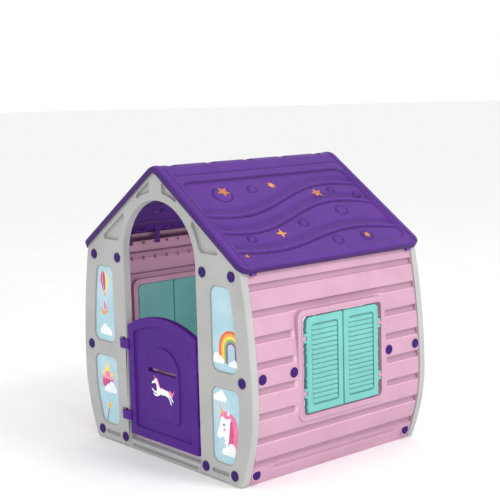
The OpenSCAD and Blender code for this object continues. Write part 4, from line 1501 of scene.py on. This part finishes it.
def swell(offset: np.ndarray, width: float) -> np.ndarray:
    """A soft line: 1 on it, falling away over a width on both sides."""
    return np.exp(-(offset / width) ** 2)


@dataclass
class RoofPanel:
    """A roof panel: a moulded slope with waves, bubbles and stars, and a rim around it."""

    m: Measures
    end: str
    side: int
    grid: float = 3.7
    corner: float = 40.0
    edge_r: float = 7.0
    rim_depth: float = 24.0
    seam_run: float = 22.0
    seam_gap: float = 1.5
    dish_r: float = 22.0
    dish_depth: float = 7.0
    waves: tuple[Wave, ...] = (Wave(260, 63, -6, 512), Wave(356, 58, -28, 485),
                               Wave(486, 32, -25, 430))
    bubbles: tuple[tuple[float, float, float], ...] = (
        (189, -108, 15), (239, 253, 11), (279, 363, 13), (359, 213, 21), (400, -15, 16),
        (446, -296, 13), (510, 71, 18))
    ring: tuple[float, float, float] = (204, -258, 36)
    ring_star: tuple[float, float, float] = (510, 219, 20)
    prints: tuple[tuple[float, ...], ...] = (
        (191, -247, 29, 5, 0.44, 100), (178, -5, 21, 8, 0.36, 90), (248, 173, 27, 5, 0.44, 120),
        (440, -152, 25, 4, 0.36, 100), (526, -375, 11, 5, 0.44, 90), (510, 219, 16, 5, 0.42, 80))
    field_down: tuple[float, float] = (122.0, 556.0)
    field_half: float = 404.0
    field_round: float = 46.0
    ridge_line: float = 84.0
    verge_line: float = 29.0
    tab_places: tuple[float, ...] = (-270, -130, 130, 270)

    @property
    def bend(self) -> float:
        """Length of the ridge's arc on one side."""
        return self.m.ridge_r * self.m.slope

    @property
    def tangent(self) -> float:
        """Distance from the slopes' meeting line to where the arc starts."""
        return self.m.ridge_r * math.tan(self.m.slope)

    @property
    def run(self) -> float:
        """Length of the straight slope."""
        return (self.m.eave_x - self.m.ridge_r * math.sin(self.m.slope)) / math.cos(self.m.slope)

    def section(self, s: np.ndarray) -> tuple[np.ndarray, np.ndarray, np.ndarray, np.ndarray]:
        """A point and outward normal of the roof's section, at a length from the apex."""
        m = self.m
        angle = np.clip(s / m.ridge_r, -m.slope, m.slope)
        over = np.sign(s) * np.maximum(np.abs(s) - self.bend, 0)
        nx, nz = np.sin(angle), np.cos(angle)
        x = m.ridge_r * nx + over * np.cos(m.slope)
        z = m.ridge_centre + m.ridge_r * nz - np.abs(over) * math.sin(m.slope)
        return x, z, nx, nz

    def field_edge(self, down: np.ndarray, y: np.ndarray) -> np.ndarray:
        """Distance outside the edge of the recessed field, negative inside it."""
        low, high = self.field_down
        a = np.abs(down - (low + high) / 2) - (high - low) / 2 + self.field_round
        b = np.abs(y) - self.field_half + self.field_round
        outside = np.hypot(np.maximum(a, 0), np.maximum(b, 0))
        return outside + np.minimum(np.maximum(a, b), 0) - self.field_round

    def height(self, s: np.ndarray, y: np.ndarray) -> tuple[np.ndarray, np.ndarray]:
        """Height of the moulded relief above the plain slope, and its painted shade (negative for
        painted highlight).
        """
        down = s - self.bend + self.tangent
        edge = self.field_edge(down, y)
        inside = smooth(-edge, 6.0, 12.0)
        upper = smooth(self.field_down[0] - down, -40.0, -10.0)
        h = -6.5 * smooth(-edge, -1.0, 8.0)
        # dark is painted shade: along the field's edge, in the waves' grooves and troughs, round
        # the bubbles and along the lines; negative on the lips for painted highlight.
        dark = swell(edge + 4.0, 4.6) * (0.30 + 0.60 * upper)
        for wave in self.waves:
            off = down - wave.down(y)
            share = inside * smooth(410 - np.abs(y + 4), 0, 22)
            trough = 1 - smooth(np.abs(off + 27), 8.0, 22.0)
            lip, groove = swell(off + 3.5, 4.2), swell(off - 6.0, 4.4)
            h += share * (4.2 * lip - 3.8 * trough - 5.0 * groove)
            dark += share * (0.95 * groove + 0.28 * trough - 0.45 * lip)
        for at, along, size in (*self.bubbles, self.ring, self.ring_star):
            off = np.hypot((down - at) * 1.1, y - along) - size
            groove = swell(off - 4.0, 3.6)
            h += inside * (3.4 * smooth(-off, -2.0, 4.0) - 3.6 * groove)
            dark += inside * (0.85 * groove - 0.30 * swell(off + 2.5, 3.0))
        line = np.hypot(np.maximum(np.abs(down - self.ridge_line) - 1.0, 0),
                        np.maximum(np.abs(y) - 396, 0))
        h -= 2.6 * swell(line, 3.2)
        dark += 0.6 * swell(line, 3.2)
        verge = self.m.roof_half - np.abs(y)
        h += 2.0 * smooth(-verge, -30.0, -24.0) - 2.2 * swell(verge - self.verge_line, 3.2)
        dark += 0.7 * swell(verge - self.verge_line, 3.4)
        return self.dished(s, y, h, dark)

    def dished(self, s: np.ndarray, y: np.ndarray, h: np.ndarray,
               dark: np.ndarray) -> tuple[np.ndarray, np.ndarray]:
        """Sinks the seats of the ridge screws into a relief, with painted shade in them."""
        x, z, _, nz = self.section(s)
        seat = (self.m.ridge - self.dish_depth - z) / nz
        for k in range(SCREWS):
            off = np.hypot(x, y - (k - SCREWS // 2) * self.m.screw_pitch) - self.dish_r
            share = smooth(-off, -2.5, 4.0)
            h = h * (1 - share) + seat * share
            dark = dark * (1 - share) + 0.25 * share
        return h, dark

    def surface(self, s: np.ndarray, y: np.ndarray, lift: np.ndarray) -> np.ndarray:
        """Points at a length over the ridge, a place along it and a lift off the plain slope."""
        x, z, nx, nz = self.section(s)
        return np.column_stack([self.side * (x + lift * nx), self.side * y, z + lift * nz])

    def build_shell(self) -> bpy.types.Mesh:
        """Builds the panel's skin with its rolled rim."""
        overlap = self.bend + self.seam_run
        start = -overlap if self.side > 0 else overlap + self.seam_gap
        end = self.bend + self.run
        half, e, c = self.m.roof_half, self.edge_r, self.corner
        extra = e * math.pi / 2 - e + self.rim_depth - e
        rows = np.linspace(start, end + extra, int((end + extra - start) / self.grid))
        columns = np.linspace(-half - extra, half + extra, int(2 * (half + extra) / self.grid))
        a, b = np.meshgrid(rows, columns, indexing="ij")
        across, along = a - (end - c), np.abs(b) - (half - c)
        q = np.maximum(across, along)
        both = (across > 0) & (along > 0)
        small, large = np.minimum(across, along), np.maximum(q, 1e-6)
        turn = np.where(both, np.pi / 4 * small / large, 0)
        toward_eave = across >= along
        da = np.where(toward_eave, np.cos(turn), np.sin(turn))
        db = np.where(toward_eave, np.sin(turn), np.cos(turn))
        level = c - e
        t = np.clip((q - level) / e, 0, np.pi / 2)
        wall = np.maximum(q - level - e * np.pi / 2, 0)
        radial = np.where(q < level, q, level + e * np.sin(t))
        lift = -(e * (1 - np.cos(t)) + wall)
        beyond = q > 0
        s = np.where(beyond & (both | toward_eave), end - c + radial * da, a)
        y_in = np.where(beyond & (both | ~toward_eave), half - c + radial * db, np.abs(b))
        y = np.sign(b) * y_in
        keep = smooth(-q, -level - 1, -level + 7)
        relief, dark = (v * keep.ravel() for v in self.height(s.ravel(), y.ravel()))
        points = self.surface(s.ravel(), y.ravel(), lift.ravel() + relief)
        shape = Shape()
        # The rolled rim gets extra painted shade.
        shape.add(points, dark + 0.62 * smooth(t.ravel(), 0.5, 1.4))
        n, k = a.shape
        ids = np.arange(n * k).reshape(n, k)
        quads = np.stack([ids[:-1, :-1], ids[1:, :-1], ids[1:, 1:], ids[:-1, 1:]], -1)
        quads = quads.reshape(-1, 4)
        shape.faces = quads.tolist()
        shape.slots = [0] * len(quads)
        mesh = shape.mesh("roof", [Finish.PURPLE], closed=False, sharp=70)
        middle = mesh.polygons[len(mesh.polygons) // 2]
        if middle.normal.z < 0:
            mesh.flip_normals()
        return mesh

    def tabs(self, shape: Shape) -> None:
        """Adds the tabs that hook behind the wall's top rail."""
        m, low, half = self.m, self.m.eave_z + 11, 12
        x = m.half_w(m.eave_z + m.rail_rise) - 47
        for y in self.tab_places:
            loop = rectangle(y - half, low, y + half, m.roof_z(x, 8.6), 4)
            shape.panel(laid("duv", (x, 0, 0), (self.side, 1, 1)), loop, 4.0, 1.2, 1.2)

    def tongue(self, shape: Shape) -> None:
        """Adds the tongue of the left panel that lies under the right one."""
        s = np.linspace(-6, self.bend + self.seam_run + 8, 20)
        y = np.array([-self.m.roof_half + 6, self.m.roof_half - 6])
        rings = []
        for lift in (-3.6, -6.4):
            rings.append([shape.add(self.surface(s, np.full(len(s), v), np.full(len(s), lift)))
                          for v in y])
        (a, b), (c, d) = rings
        for first, second in ((a, b), (c, d), (a, c), (b, d)):
            shape.bridge(first, second, False)
        for end in (0, -1):
            shape.face((a[end], b[end], d[end], c[end]))

    def stars(self) -> bpy.types.Mesh:
        """Lays the gold stars on the relief."""
        shape = Shape()
        levels = [(share, 1.0) for share in (0.02, 0.25, 0.5, 0.75, 1.0)] + [(1.0, -0.8)]
        for down, along, *form in self.prints:
            corners = star(*form)
            ahead = np.roll(corners, -1, 0) - corners
            rim = np.concatenate([corner + step * np.linspace(0, 0.75, 4)[:, None]
                                  for corner, step in zip(corners, ahead)])
            at = down + self.bend - self.tangent
            pad = self.height(np.array([at]), np.array([float(along)]))[0][0]
            rings = []
            for share, lift in levels:
                s, y = at + rim[:, 1] * share, along + rim[:, 0] * share
                level = np.maximum(self.height(s, y)[0], pad)
                rings.append(shape.add(self.surface(s, y, level + lift)))
            for a, b in zip(rings, rings[1:]):
                shape.bridge(a, b)
            shape.face(rings[0])
            shape.face(rings[-1])
        return shape.mesh("stars", [Finish.GOLD], sharp=30)

    def build(self) -> None:
        """Builds the panel and its stars and puts them in the scene."""
        node, stars = f"roof_{self.end}", f"roof_stars_{self.end}"
        skin = put(node + "_panel", self.build_shell(), "house", Finish.PURPLE.slot, node)
        thicken(skin, self.m.roof_skin)
        shape = Shape()
        self.tabs(shape)
        if self.side < 0:
            self.tongue(shape)
        put_moulding(node + "_panel_hooks", shape, Finish.PURPLE, "house")
        put(stars + "_prints", self.stars(), "house", Finish.GOLD.slot, stars)


# ---- door and gate


@dataclass
class Door:
    """The door leaf: a recessed field, a raised panel, a letter slot and two hinge lugs."""

    m: Measures
    gap: float = 9.0
    corner_z: float = 485.0
    rise: float = 50.0
    depth: float = 24.0
    lug_h: float = 36.0
    lug_z: tuple[float, float] = (130.0, 408.0)
    slot_z: float = 333.0
    slot_half: float = 84.0
    slot_h: float = 16.0

    def outline(self, inset: float, corner: float) -> np.ndarray:
        """The leaf's outline with a gently arched top, moved in by an inset."""
        half = self.m.doorway - self.gap
        r = (half ** 2 + self.rise ** 2) / (2 * self.rise)
        cz, low, half = self.corner_z + self.rise - r, 60.0 + inset, half - inset
        r -= inset
        span = math.degrees(math.asin(half / r))
        top = arc(0, cz, r, 90 - span, 90 + span, 20)
        points = [(-half, low, corner), (half, low, corner), (*top[0], corner)]
        points += [(x, z, 0) for x, z in top[2:-2]] + [(*top[-1], corner)]
        return rounded(points)

    def panel_outline(self) -> np.ndarray:
        """The tombstone outline of the raised panel."""
        low, spring, half = 150.0, 352.0, 100.0
        top = arc(0, spring - 34, math.hypot(half, 34), 19, 161, 20)
        points = [(-half, low, 24), (half, low, 24)] + [(x, z, 0) for x, z in top]
        return rounded(points)

    def build(self) -> None:
        """Builds the leaf and its print."""
        m, shape = self.m, Shape()
        low, high = self.slot_z - self.slot_h / 2, self.slot_z + self.slot_h / 2
        opening = rectangle(-self.slot_half, low, self.slot_half, high, 3)
        slot = Feature(opening, None, 1.2, 1.2)
        raised = Feature(self.panel_outline(), 2.0, 3.0, 2.6, [slot])
        recess = Feature(self.outline(37, 9), 8.0, 3.0, 4.0, [raised])
        place = facing(-m.face_y, 1)
        shape.panel(place, self.outline(0, 10), self.depth, 5.0, 3.0, [recess])
        self.lugs(shape)
        self.bumps(shape)
        put_moulding("door_leaf", shape, Finish.DOOR, "door", "door")
        self.print_pony()

    def lugs(self, shape: Shape) -> None:
        """Adds the two hinge lugs that wrap onto the column."""
        (x, y), r = pin_axis("door_hinge_pins"), 10.0
        edge = -self.m.doorway + self.gap + 10
        for z in self.lug_z:
            loop = [(u, v, 0) for u, v in arc(x, y, r, 90, 270, 14)]
            loop += [(edge, y - r, 3), (edge, y + 3, 0)]
            loop += [(x + 6, y + 3, 4), (x + 4, y + r - 1, 0)]
            shape.panel(upright(z - self.lug_h / 2), rounded(loop), self.lug_h, 2.5, 2.5)

    def bumps(self, shape: Shape) -> None:
        """Adds the two stop strips on the free edge."""
        half = self.m.doorway - self.gap
        for z in (95.0, 362.0):
            loop = rectangle(half - 4, z, half + self.gap - 1, z + 78, 4)
            shape.panel(facing(-self.m.face_y + 4, 1), loop, self.depth - 8, 2.5, 2.0)

    def print_pony(self) -> None:
        """Prints a leaping pony under the letter slot."""
        window = rectangle(-95, 160, 95, 322, 10)
        paper = Paper(facing(-self.m.face_y, 1), window, 1.95)
        paper.move(-2.0, 268.0)
        for finish, points in (
                (Finish.ROSE, [(34, -8), (46, 4), (60, -4), (72, 6), (62, -18), (48, -14)]),
                (Finish.WHITE, [(22, -6), (44, -22), (56, -46), (50, -46), (38, -26), (16, -18)]),
                (Finish.WHITE, [(28, -2), (50, -14), (66, -34), (61, -36), (46, -20), (24, -14)]),
                (Finish.WHITE, [(-22, -8), (-44, -12), (-62, -4), (-62, -9), (-44, -19),
                                (-20, -20)]),
                (Finish.WHITE, [(-20, -14), (-38, -24), (-54, -20), (-54, -25), (-38, -31),
                                (-14, -22)]),
                (Finish.WHITE, [(-30, -4), (-16, 6), (16, 2), (38, -2), (36, -16), (8, -20),
                                (-22, -18)]),
                (Finish.WHITE, [(-30, -12), (-36, 16), (-46, 18), (-62, 14), (-60, 21), (-44, 32),
                                (-34, 38), (-26, 26), (-14, 4)]),
                (Finish.ROSE, [(-34, 38), (-24, 32), (-14, 10), (2, 2), (-12, 1), (-24, 16)])):
            paper.ink(finish, blob(points))
        paper.ink(Finish.ORANGE, [(-43, 33), (-38, 36), (-50, 50)])
        paper.ink(Finish.INK, circle(-46, 25, 1.5, 10))
        mesh = paper.shape.mesh("door_print", paper.finishes, sharp=20)
        put("door_print", mesh, "door", Finish.SKY.slot, "door_sticker")


@dataclass
class Gate:
    """The picket gate: a panel with upright slots on a round hinge barrel."""

    m: Measures
    slots: int = 6
    slot_w: float = 34.0
    barrel_r: float = 11.0

    def build(self) -> None:
        """Builds the gate and puts it in the scene."""
        low, high = box_mm("gate")
        ax, ay = pin_axis("gate_hinge_pins")
        x0, x1, depth = ax + self.barrel_r - 2, high.x, 20.0
        pitch = (x1 - x0 - 36) / self.slots
        holes = []
        for i in range(self.slots):
            u = -(x0 + 18 + (i + 0.5) * pitch)
            loop = rectangle(u - self.slot_w / 2, low.z + 42, u + self.slot_w / 2, high.z - 36,
                             self.slot_w / 2 - 1, 8)
            holes.append(Feature(loop, None, 5.0, 3.0))
        shape = Shape()
        place = facing(-(ay + self.barrel_r), -1)
        shape.panel(place, rectangle(-x1, low.z, -x0, high.z, 9), depth, 5.0, 3.0, holes)
        r, height = self.barrel_r, high.z - low.z
        profile = [(0.2, 0), (r - 2, 0), (r - 0.6, 0.6), (r, 2), (r, height - 2),
                   (r - 0.6, height - 0.6), (r - 2, height), (0.2, height)]
        shape.lathe((ax, ay, low.z), profile, 32)
        put_moulding("gate_leaf", shape, Finish.BROWN, "gate", "gate")


@dataclass
class Sills:
    """The grey bars across the feet of the two doorways."""

    m: Measures

    def groove(self, inset: float, low: float, high: float, r: float, depth: float,
               rim: float, fillet: float) -> Feature:
        """The long groove in the face of a bar, with painted shade on its walls and floor."""
        half = self.m.doorway - inset
        return Feature(rectangle(-half, low, half, high, r), depth, rim, fillet, shade=0.5,
                       dark_floor=True)

    def build(self) -> None:
        """Builds both bars."""
        m, half, bar = self.m, self.m.doorway - 0.4, Shape()
        bar.panel(facing(-m.face_y + 1, 1), rectangle(-half, 0, half, 36, 4),
                  m.face_y - m.back_y - 1, 4.0, 2.0, [self.groove(16, 11, 22, 5, 5.0, 1.5, 1.5)])
        put_moulding("threshold_bar", bar, Finish.GREY, "house", "threshold")
        low, high = box_mm("gate_sill")
        sill = Shape()
        groove = self.groove(22, low.z + 9, low.z + 15, 2.5, 2.0, 1.0, 0.8)
        sill.panel(facing(-high.y, -1), rectangle(-half, low.z, half, high.z, 4),
                   high.y - low.y, 4.0, 2.0, [groove])
        (ax, ay), height, r = pin_axis("gate_hinge_pins"), high.z - low.z, 11
        sill.lathe((ax, ay, low.z), [(0.2, 0), (r - 1, 0), (r, 1), (r, height - 1),
                                     (r - 1, height), (0.2, height)], 32)
        put_moulding("gate_sill_bar", sill, Finish.GREY, "house", "gate_sill")


# ---- shutters


@dataclass
class Shutter:
    """A louvred shutter of one window, at the back (+Y) or front (-Y) end of its wall."""

    side: int
    end: int
    row: Tree
    edge_y: float = 179.0
    width: float = 176.5
    depth: float = 18.0
    low: float = 227.0
    high: float = 569.0
    louvres: int = 16

    @property
    def label(self) -> str:
        """The node's name."""
        side, end = "right" if self.side > 0 else "left", "back" if self.end > 0 else "front"
        return f"shutter_{side}_{end}"

    @property
    def place(self) -> Place:
        """Turns distance from the window's middle, height and depth into space."""
        return sideways(WINDOW_X, self.side, self.end)

    def outline(self) -> np.ndarray:
        """The leaf's outline: big outer corners and small scallops down the hinge edge."""
        inner, outer = self.edge_y - self.width, self.edge_y
        points = [(inner, self.low, 5), (outer, self.low, 12)]
        for z in (248, 276, 330, 352, 398, 444, 466, 524):
            points += [(outer, z - 6, 2), (outer + 3.2, z - 3, 2), (outer + 3.2, z + 3, 2),
                       (outer, z + 6, 2)]
        return rounded(points + [(outer, self.high, 34), (inner, self.high, 5)], 5)

    def slats(self, field_low: float, field_high: float, u0: float, u1: float) -> bpy.types.Mesh:
        """Repeats the slanted louvre up the field."""
        pitch = (field_high - field_low - 10) / self.louvres
        section = [(5.4, -0.50), (5.4, 0.16), (4.4, 0.36), (2.4, 0.30), (0.9, 0.02), (0.5, -0.22),
                   (0.8, -0.38), (2.0, -0.47)]
        slat, rings = Shape(), []
        ends = ((u0, 0.55), (u0 + 1.5, 0.8), (u0 + 4, 0.95), (u0 + 8, 1.0), (u1 - 8, 1.0),
                (u1 - 4, 0.95), (u1 - 1.5, 0.8), (u1, 0.55))
        for u, share in ends:
            d = np.array([5.6 - (5.6 - p[0]) * share for p in section])
            v = np.array([p[1] * pitch * (0.6 + 0.4 * share) for p in section])
            rings.append(slat.add(self.place(np.full(len(section), u), v, d)))
        for a, b in zip(rings, rings[1:]):
            slat.bridge(a, b)
        slat.face(rings[0])
        slat.face(rings[-1])
        back = rectangle(u0 + 2, -0.28 * pitch, u1 - 2, 0.28 * pitch, 3)
        inside = laid("duv", (WINDOW_X - self.depth - 1.2, 0, 0), (self.side, self.end, 1))
        slat.panel(inside, back, 2.4, 1.1, 0.4)
        return copies(self.row, slat.mesh("slat", [Finish.TEAL], sharp=65), Finish.TEAL,
                      Count=self.louvres, Step=(0.0, 0.0, pitch * MM),
                      Start=(0.0, 0.0, (field_low + 5 + pitch / 2) * MM))

    def lugs(self, shape: Shape) -> None:
        """Adds the lugs above and below each knuckle of the wall."""
        ax, ay, r, height = 7.0, self.edge_y + 8, 7.0, 9.0
        for z in HINGE_Z:
            for way in (-1, 1):
                base = z + way * (7 + 0.6 + height / 2) - height / 2
                loop = [(u, v, 0) for u, v in arc(ay, ax, r, -90, 90, 12)]
                loop += [(self.edge_y - 4, ax + r, 0), (self.edge_y - 4, ax - r, 0)]
                place = laid("Vud", (WINDOW_X, 0, base), (self.side, self.end, 1))
                shape.panel(place, rounded(loop), height, 1.2, 1.2)

    def build(self) -> None:
        """Builds the shutter and puts it in the scene."""
        inner = self.edge_y - self.width
        u0, u1 = inner + 24, self.edge_y - 24
        field_low, field_high = self.low + 26, self.high - 26
        # The louvre field's recess gets painted shade on its walls and floor.
        recess = Feature(rectangle(u0, field_low, u1, field_high, 13), 5.6, 2.2, 1.2, shade=0.5,
                         dark_floor=True)
        shape = Shape()
        shape.panel(self.place, self.outline(), self.depth, 3.5, 2.0, [recess])
        self.lugs(shape)
        mesh = joined(self.label + "_leaf", [shape.mesh("leaf", [Finish.TEAL]),
                                             self.slats(field_low, field_high, u0 + 2, u1 - 2)])
        put(self.label + "_leaf", mesh, self.label, Finish.TEAL.slot, self.label)


# ---- fasteners


@dataclass
class Fasteners:
    """The round bolt heads of the panels and the screws of the ridge."""

    m: Measures
    tree: Tree
    head_r: float = 18.0
    head_h: float = 6.0

    def cross(self, size: float, arm: float) -> np.ndarray:
        """The outline of a cross recess."""
        points, corners = [], [(-arm, -size), (arm, -size), (arm, -arm)]
        for _ in range(4):
            points += [(u, v, 0.5) for u, v in corners]
            corners = [(-v, u) for u, v in corners]
        return rounded(points, 2)

    def head(self, r: float, height: float, shank: float, length: float) -> bpy.types.Mesh:
        """A low domed head with a cross recess, facing +Z, with its shank below."""
        shape = Shape()

        def place(u: np.ndarray, v: np.ndarray, d: np.ndarray) -> np.ndarray:
            """Places outline points on the dome."""
            return np.column_stack([u, v, np.maximum(height - d - 0.10 * np.hypot(u, v), 0.0)])

        inner = Feature(self.cross(r * 0.30, r * 0.08), 2.0, 0.5, 0.4)
        ring = Feature(circle(0, 0, r * 0.58, 36), 0.7, 0.6, 0.6, [inner])
        shape.panel(place, circle(0, 0, r, 36), height, min(3.2, height * 0.6), 0.4, [ring])
        shape.lathe((0, 0, 0), [(0.1, -length), (shank * 0.8, -length), (shank, 2 - length),
                                (shank, 0.5), (0.1, 0.5)], 16)
        return shape.mesh("bolt", [Finish.BOLT])

    def group(self, name: str, node: str, points: Sequence, turn: Sequence[float],
              mesh: bpy.types.Mesh) -> None:
        """Sets a fastener on each point and puts the group in the scene."""
        made = copies(self.tree, mesh, Finish.BOLT, points, Turn=turn)
        put(name, made, "house", Finish.BOLT.slot, node)

    def bolts(self, end: str, points: Sequence, turn: Sequence[float], length: float) -> None:
        """Sets the bolts of one panel."""
        head = self.head(self.head_r, self.head_h, 5.0, length)
        self.group(f"bolt_heads_{end}", f"bolts_{end}", points, turn, head)

    def build(self, gables: Sequence[Gable], walls: Sequence[SideWall]) -> None:
        """Builds every group of fasteners."""
        quarter = math.pi / 2
        for gable in gables:
            points = [(x, -gable.way * self.m.face_y, z) for x, z in gable.bolt_places()]
            self.bolts(gable.end, points, (gable.way * quarter, 0, 0), 38.0)
        for wall in walls:
            points = [(wall.side * (wall.out(z) + 0.3), y, z) for y, z in wall.bolt_places()]
            self.bolts(wall.end, points, (0, wall.side * quarter, 0), 32.0)
        top = box_mm("ridge_screws")[1].z - 4
        points = [(0, (k - SCREWS // 2) * self.m.screw_pitch, top) for k in range(SCREWS)]
        self.group("ridge_screw_heads", "ridge_screws", points, (0, 0, 0),
                   self.head(SCREW_R, 3.6, 4.0, 13.0))


# ---- studio


@dataclass(frozen=True)
class Studio:
    """The pale floor, the soft lights and the camera."""

    eye: tuple[float, float, float] = (3.456, -2.944, 1.392)
    azimuth: float = 49.52
    elevation: float = 8.19
    roll: float = -1.45
    lens: float = 85.7
    sensor: float = 36.0
    floor_reach: float = 300.0

    def camera(self) -> None:
        """Makes the camera and makes it the scene's."""
        data = bpy.data.cameras.new("camera")
        data.lens, data.sensor_width = self.lens, self.sensor
        data.clip_start, data.clip_end = 0.1, 60
        made = bpy.data.objects.new("camera", data)
        a, e, r = (math.radians(v) for v in (self.azimuth, self.elevation, self.roll))
        back = Vector((math.sin(a) * math.cos(e), -math.cos(a) * math.cos(e), math.sin(e)))
        right = (-back).cross(Vector((0, 0, 1))).normalized()
        up = right.cross(-back)
        right, up = right * math.cos(r) + up * math.sin(r), up * math.cos(r) - right * math.sin(r)
        matrix = made.matrix_world.to_3x3()
        matrix.col[0], matrix.col[1], matrix.col[2] = right, up, back
        made.matrix_world = matrix.to_4x4()
        made.location = self.eye
        bpy.context.scene.collection.objects.link(made)
        bpy.context.scene.camera = made

    def light(self, name: str, place: Sequence[float], size: float, power: float,
              kind: str = "AREA") -> None:
        """Adds a soft light that faces the house's middle.

        Args:
            name: The light's name.
            place: Where it stands, in metres.
            size: How wide it is, in metres.
            power: Its power in watts.
            kind: AREA, or POINT for one that shines all round.
        """
        data = bpy.data.lights.new(name, kind)
        data.energy = power
        if kind == "AREA":
            data.size = size
        else:
            data.shadow_soft_size = size
        made = bpy.data.objects.new(name, data)
        made.location = place
        made.visible_camera = False
        aim = Vector((0, 0, 0.5)) - Vector(place)
        made.rotation_euler = aim.to_track_quat("-Z", "Y").to_euler()
        bpy.context.scene.collection.objects.link(made)

    def build(self) -> None:
        """Builds the studio."""
        self.camera()
        world = bpy.data.worlds.new("studio")
        world.use_nodes = True
        sky = world.node_tree.nodes["Background"]
        sky.inputs[0].default_value, sky.inputs[1].default_value = (1, 1, 1, 1), 1.0
        bpy.context.scene.world = world
        self.light("key", (4.4, 0.9, 4.4), 1.4, 125)
        self.light("side", (5.4, -1.2, 1.4), 2.0, 50)
        self.light("front", (-1.6, -5.0, 1.6), 3.0, 28)
        self.light("cabin", (0.0, 0.0, 0.52), 0.2, 4.0, "POINT")
        mesh = bpy.data.meshes.new("floor")
        r = self.floor_reach
        mesh.from_pydata([(-r, -r, 0), (r, -r, 0), (r, r, 0), (-r, r, 0)], [], [(0, 1, 2, 3)])
        floor = bpy.data.objects.new("floor", mesh)
        shader = Shader("pale_floor")
        shader.set("Base Color", shader.ramp(shader.noise(3.0), [(0.3, (0.90, 0.90, 0.90)),
                                                                 (0.7, (0.92, 0.92, 0.92))]))
        shader.set("Roughness", 0.9)
        mesh.materials.append(shader.material)
        bpy.context.scene.collection.objects.link(floor)
        bpy.context.scene.view_settings.view_transform = "Standard"


def dress_frame_nodes() -> None:
    """Gives the solid pieces that stay in view their finishes."""
    finishes = {
        "nuts_": Finish.BOLT, "bracket_": Finish.PINK, "eave_clips_": Finish.PURPLE,
        "shutter_pins_": Finish.TEAL, "door_hinge_pins": Finish.GREY,
        "gate_hinge_pins": Finish.GREY}
    for name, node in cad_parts.items():
        for start, finish in finishes.items():
            if name.startswith(start):
                node.data.materials.clear()
                node.data.materials.append(finish.material)
                finish.slot


def main() -> None:
    """Builds every piece of the house in order."""
    m = Measures.read()
    LOG.info("measures: %s", m)
    scatter, row, clapboards = scatter_tree(), row_tree(), clapboard_tree()
    gables = [Gable(m, "front", 1, True), Gable(m, "back", -1, False)]
    walls = [SideWall(m, end, side, clapboards, row) for end, side in ENDS]
    for gable in gables:
        gable.build()
    for gable in gables:
        GablePrints(gable).build()
    for wall in walls:
        wall.build()
    for end, side in ENDS:
        RoofPanel(m, end, side).build()
    Door(m).build()
    Gate(m).build()
    Sills(m).build()
    for side in (1, -1):
        for end in (1, -1):
            Shutter(side, end, row).build()
    Fasteners(m, scatter).build(gables, walls)
    dress_frame_nodes()
    Studio().build()


if __name__ == "__main__":
    main()
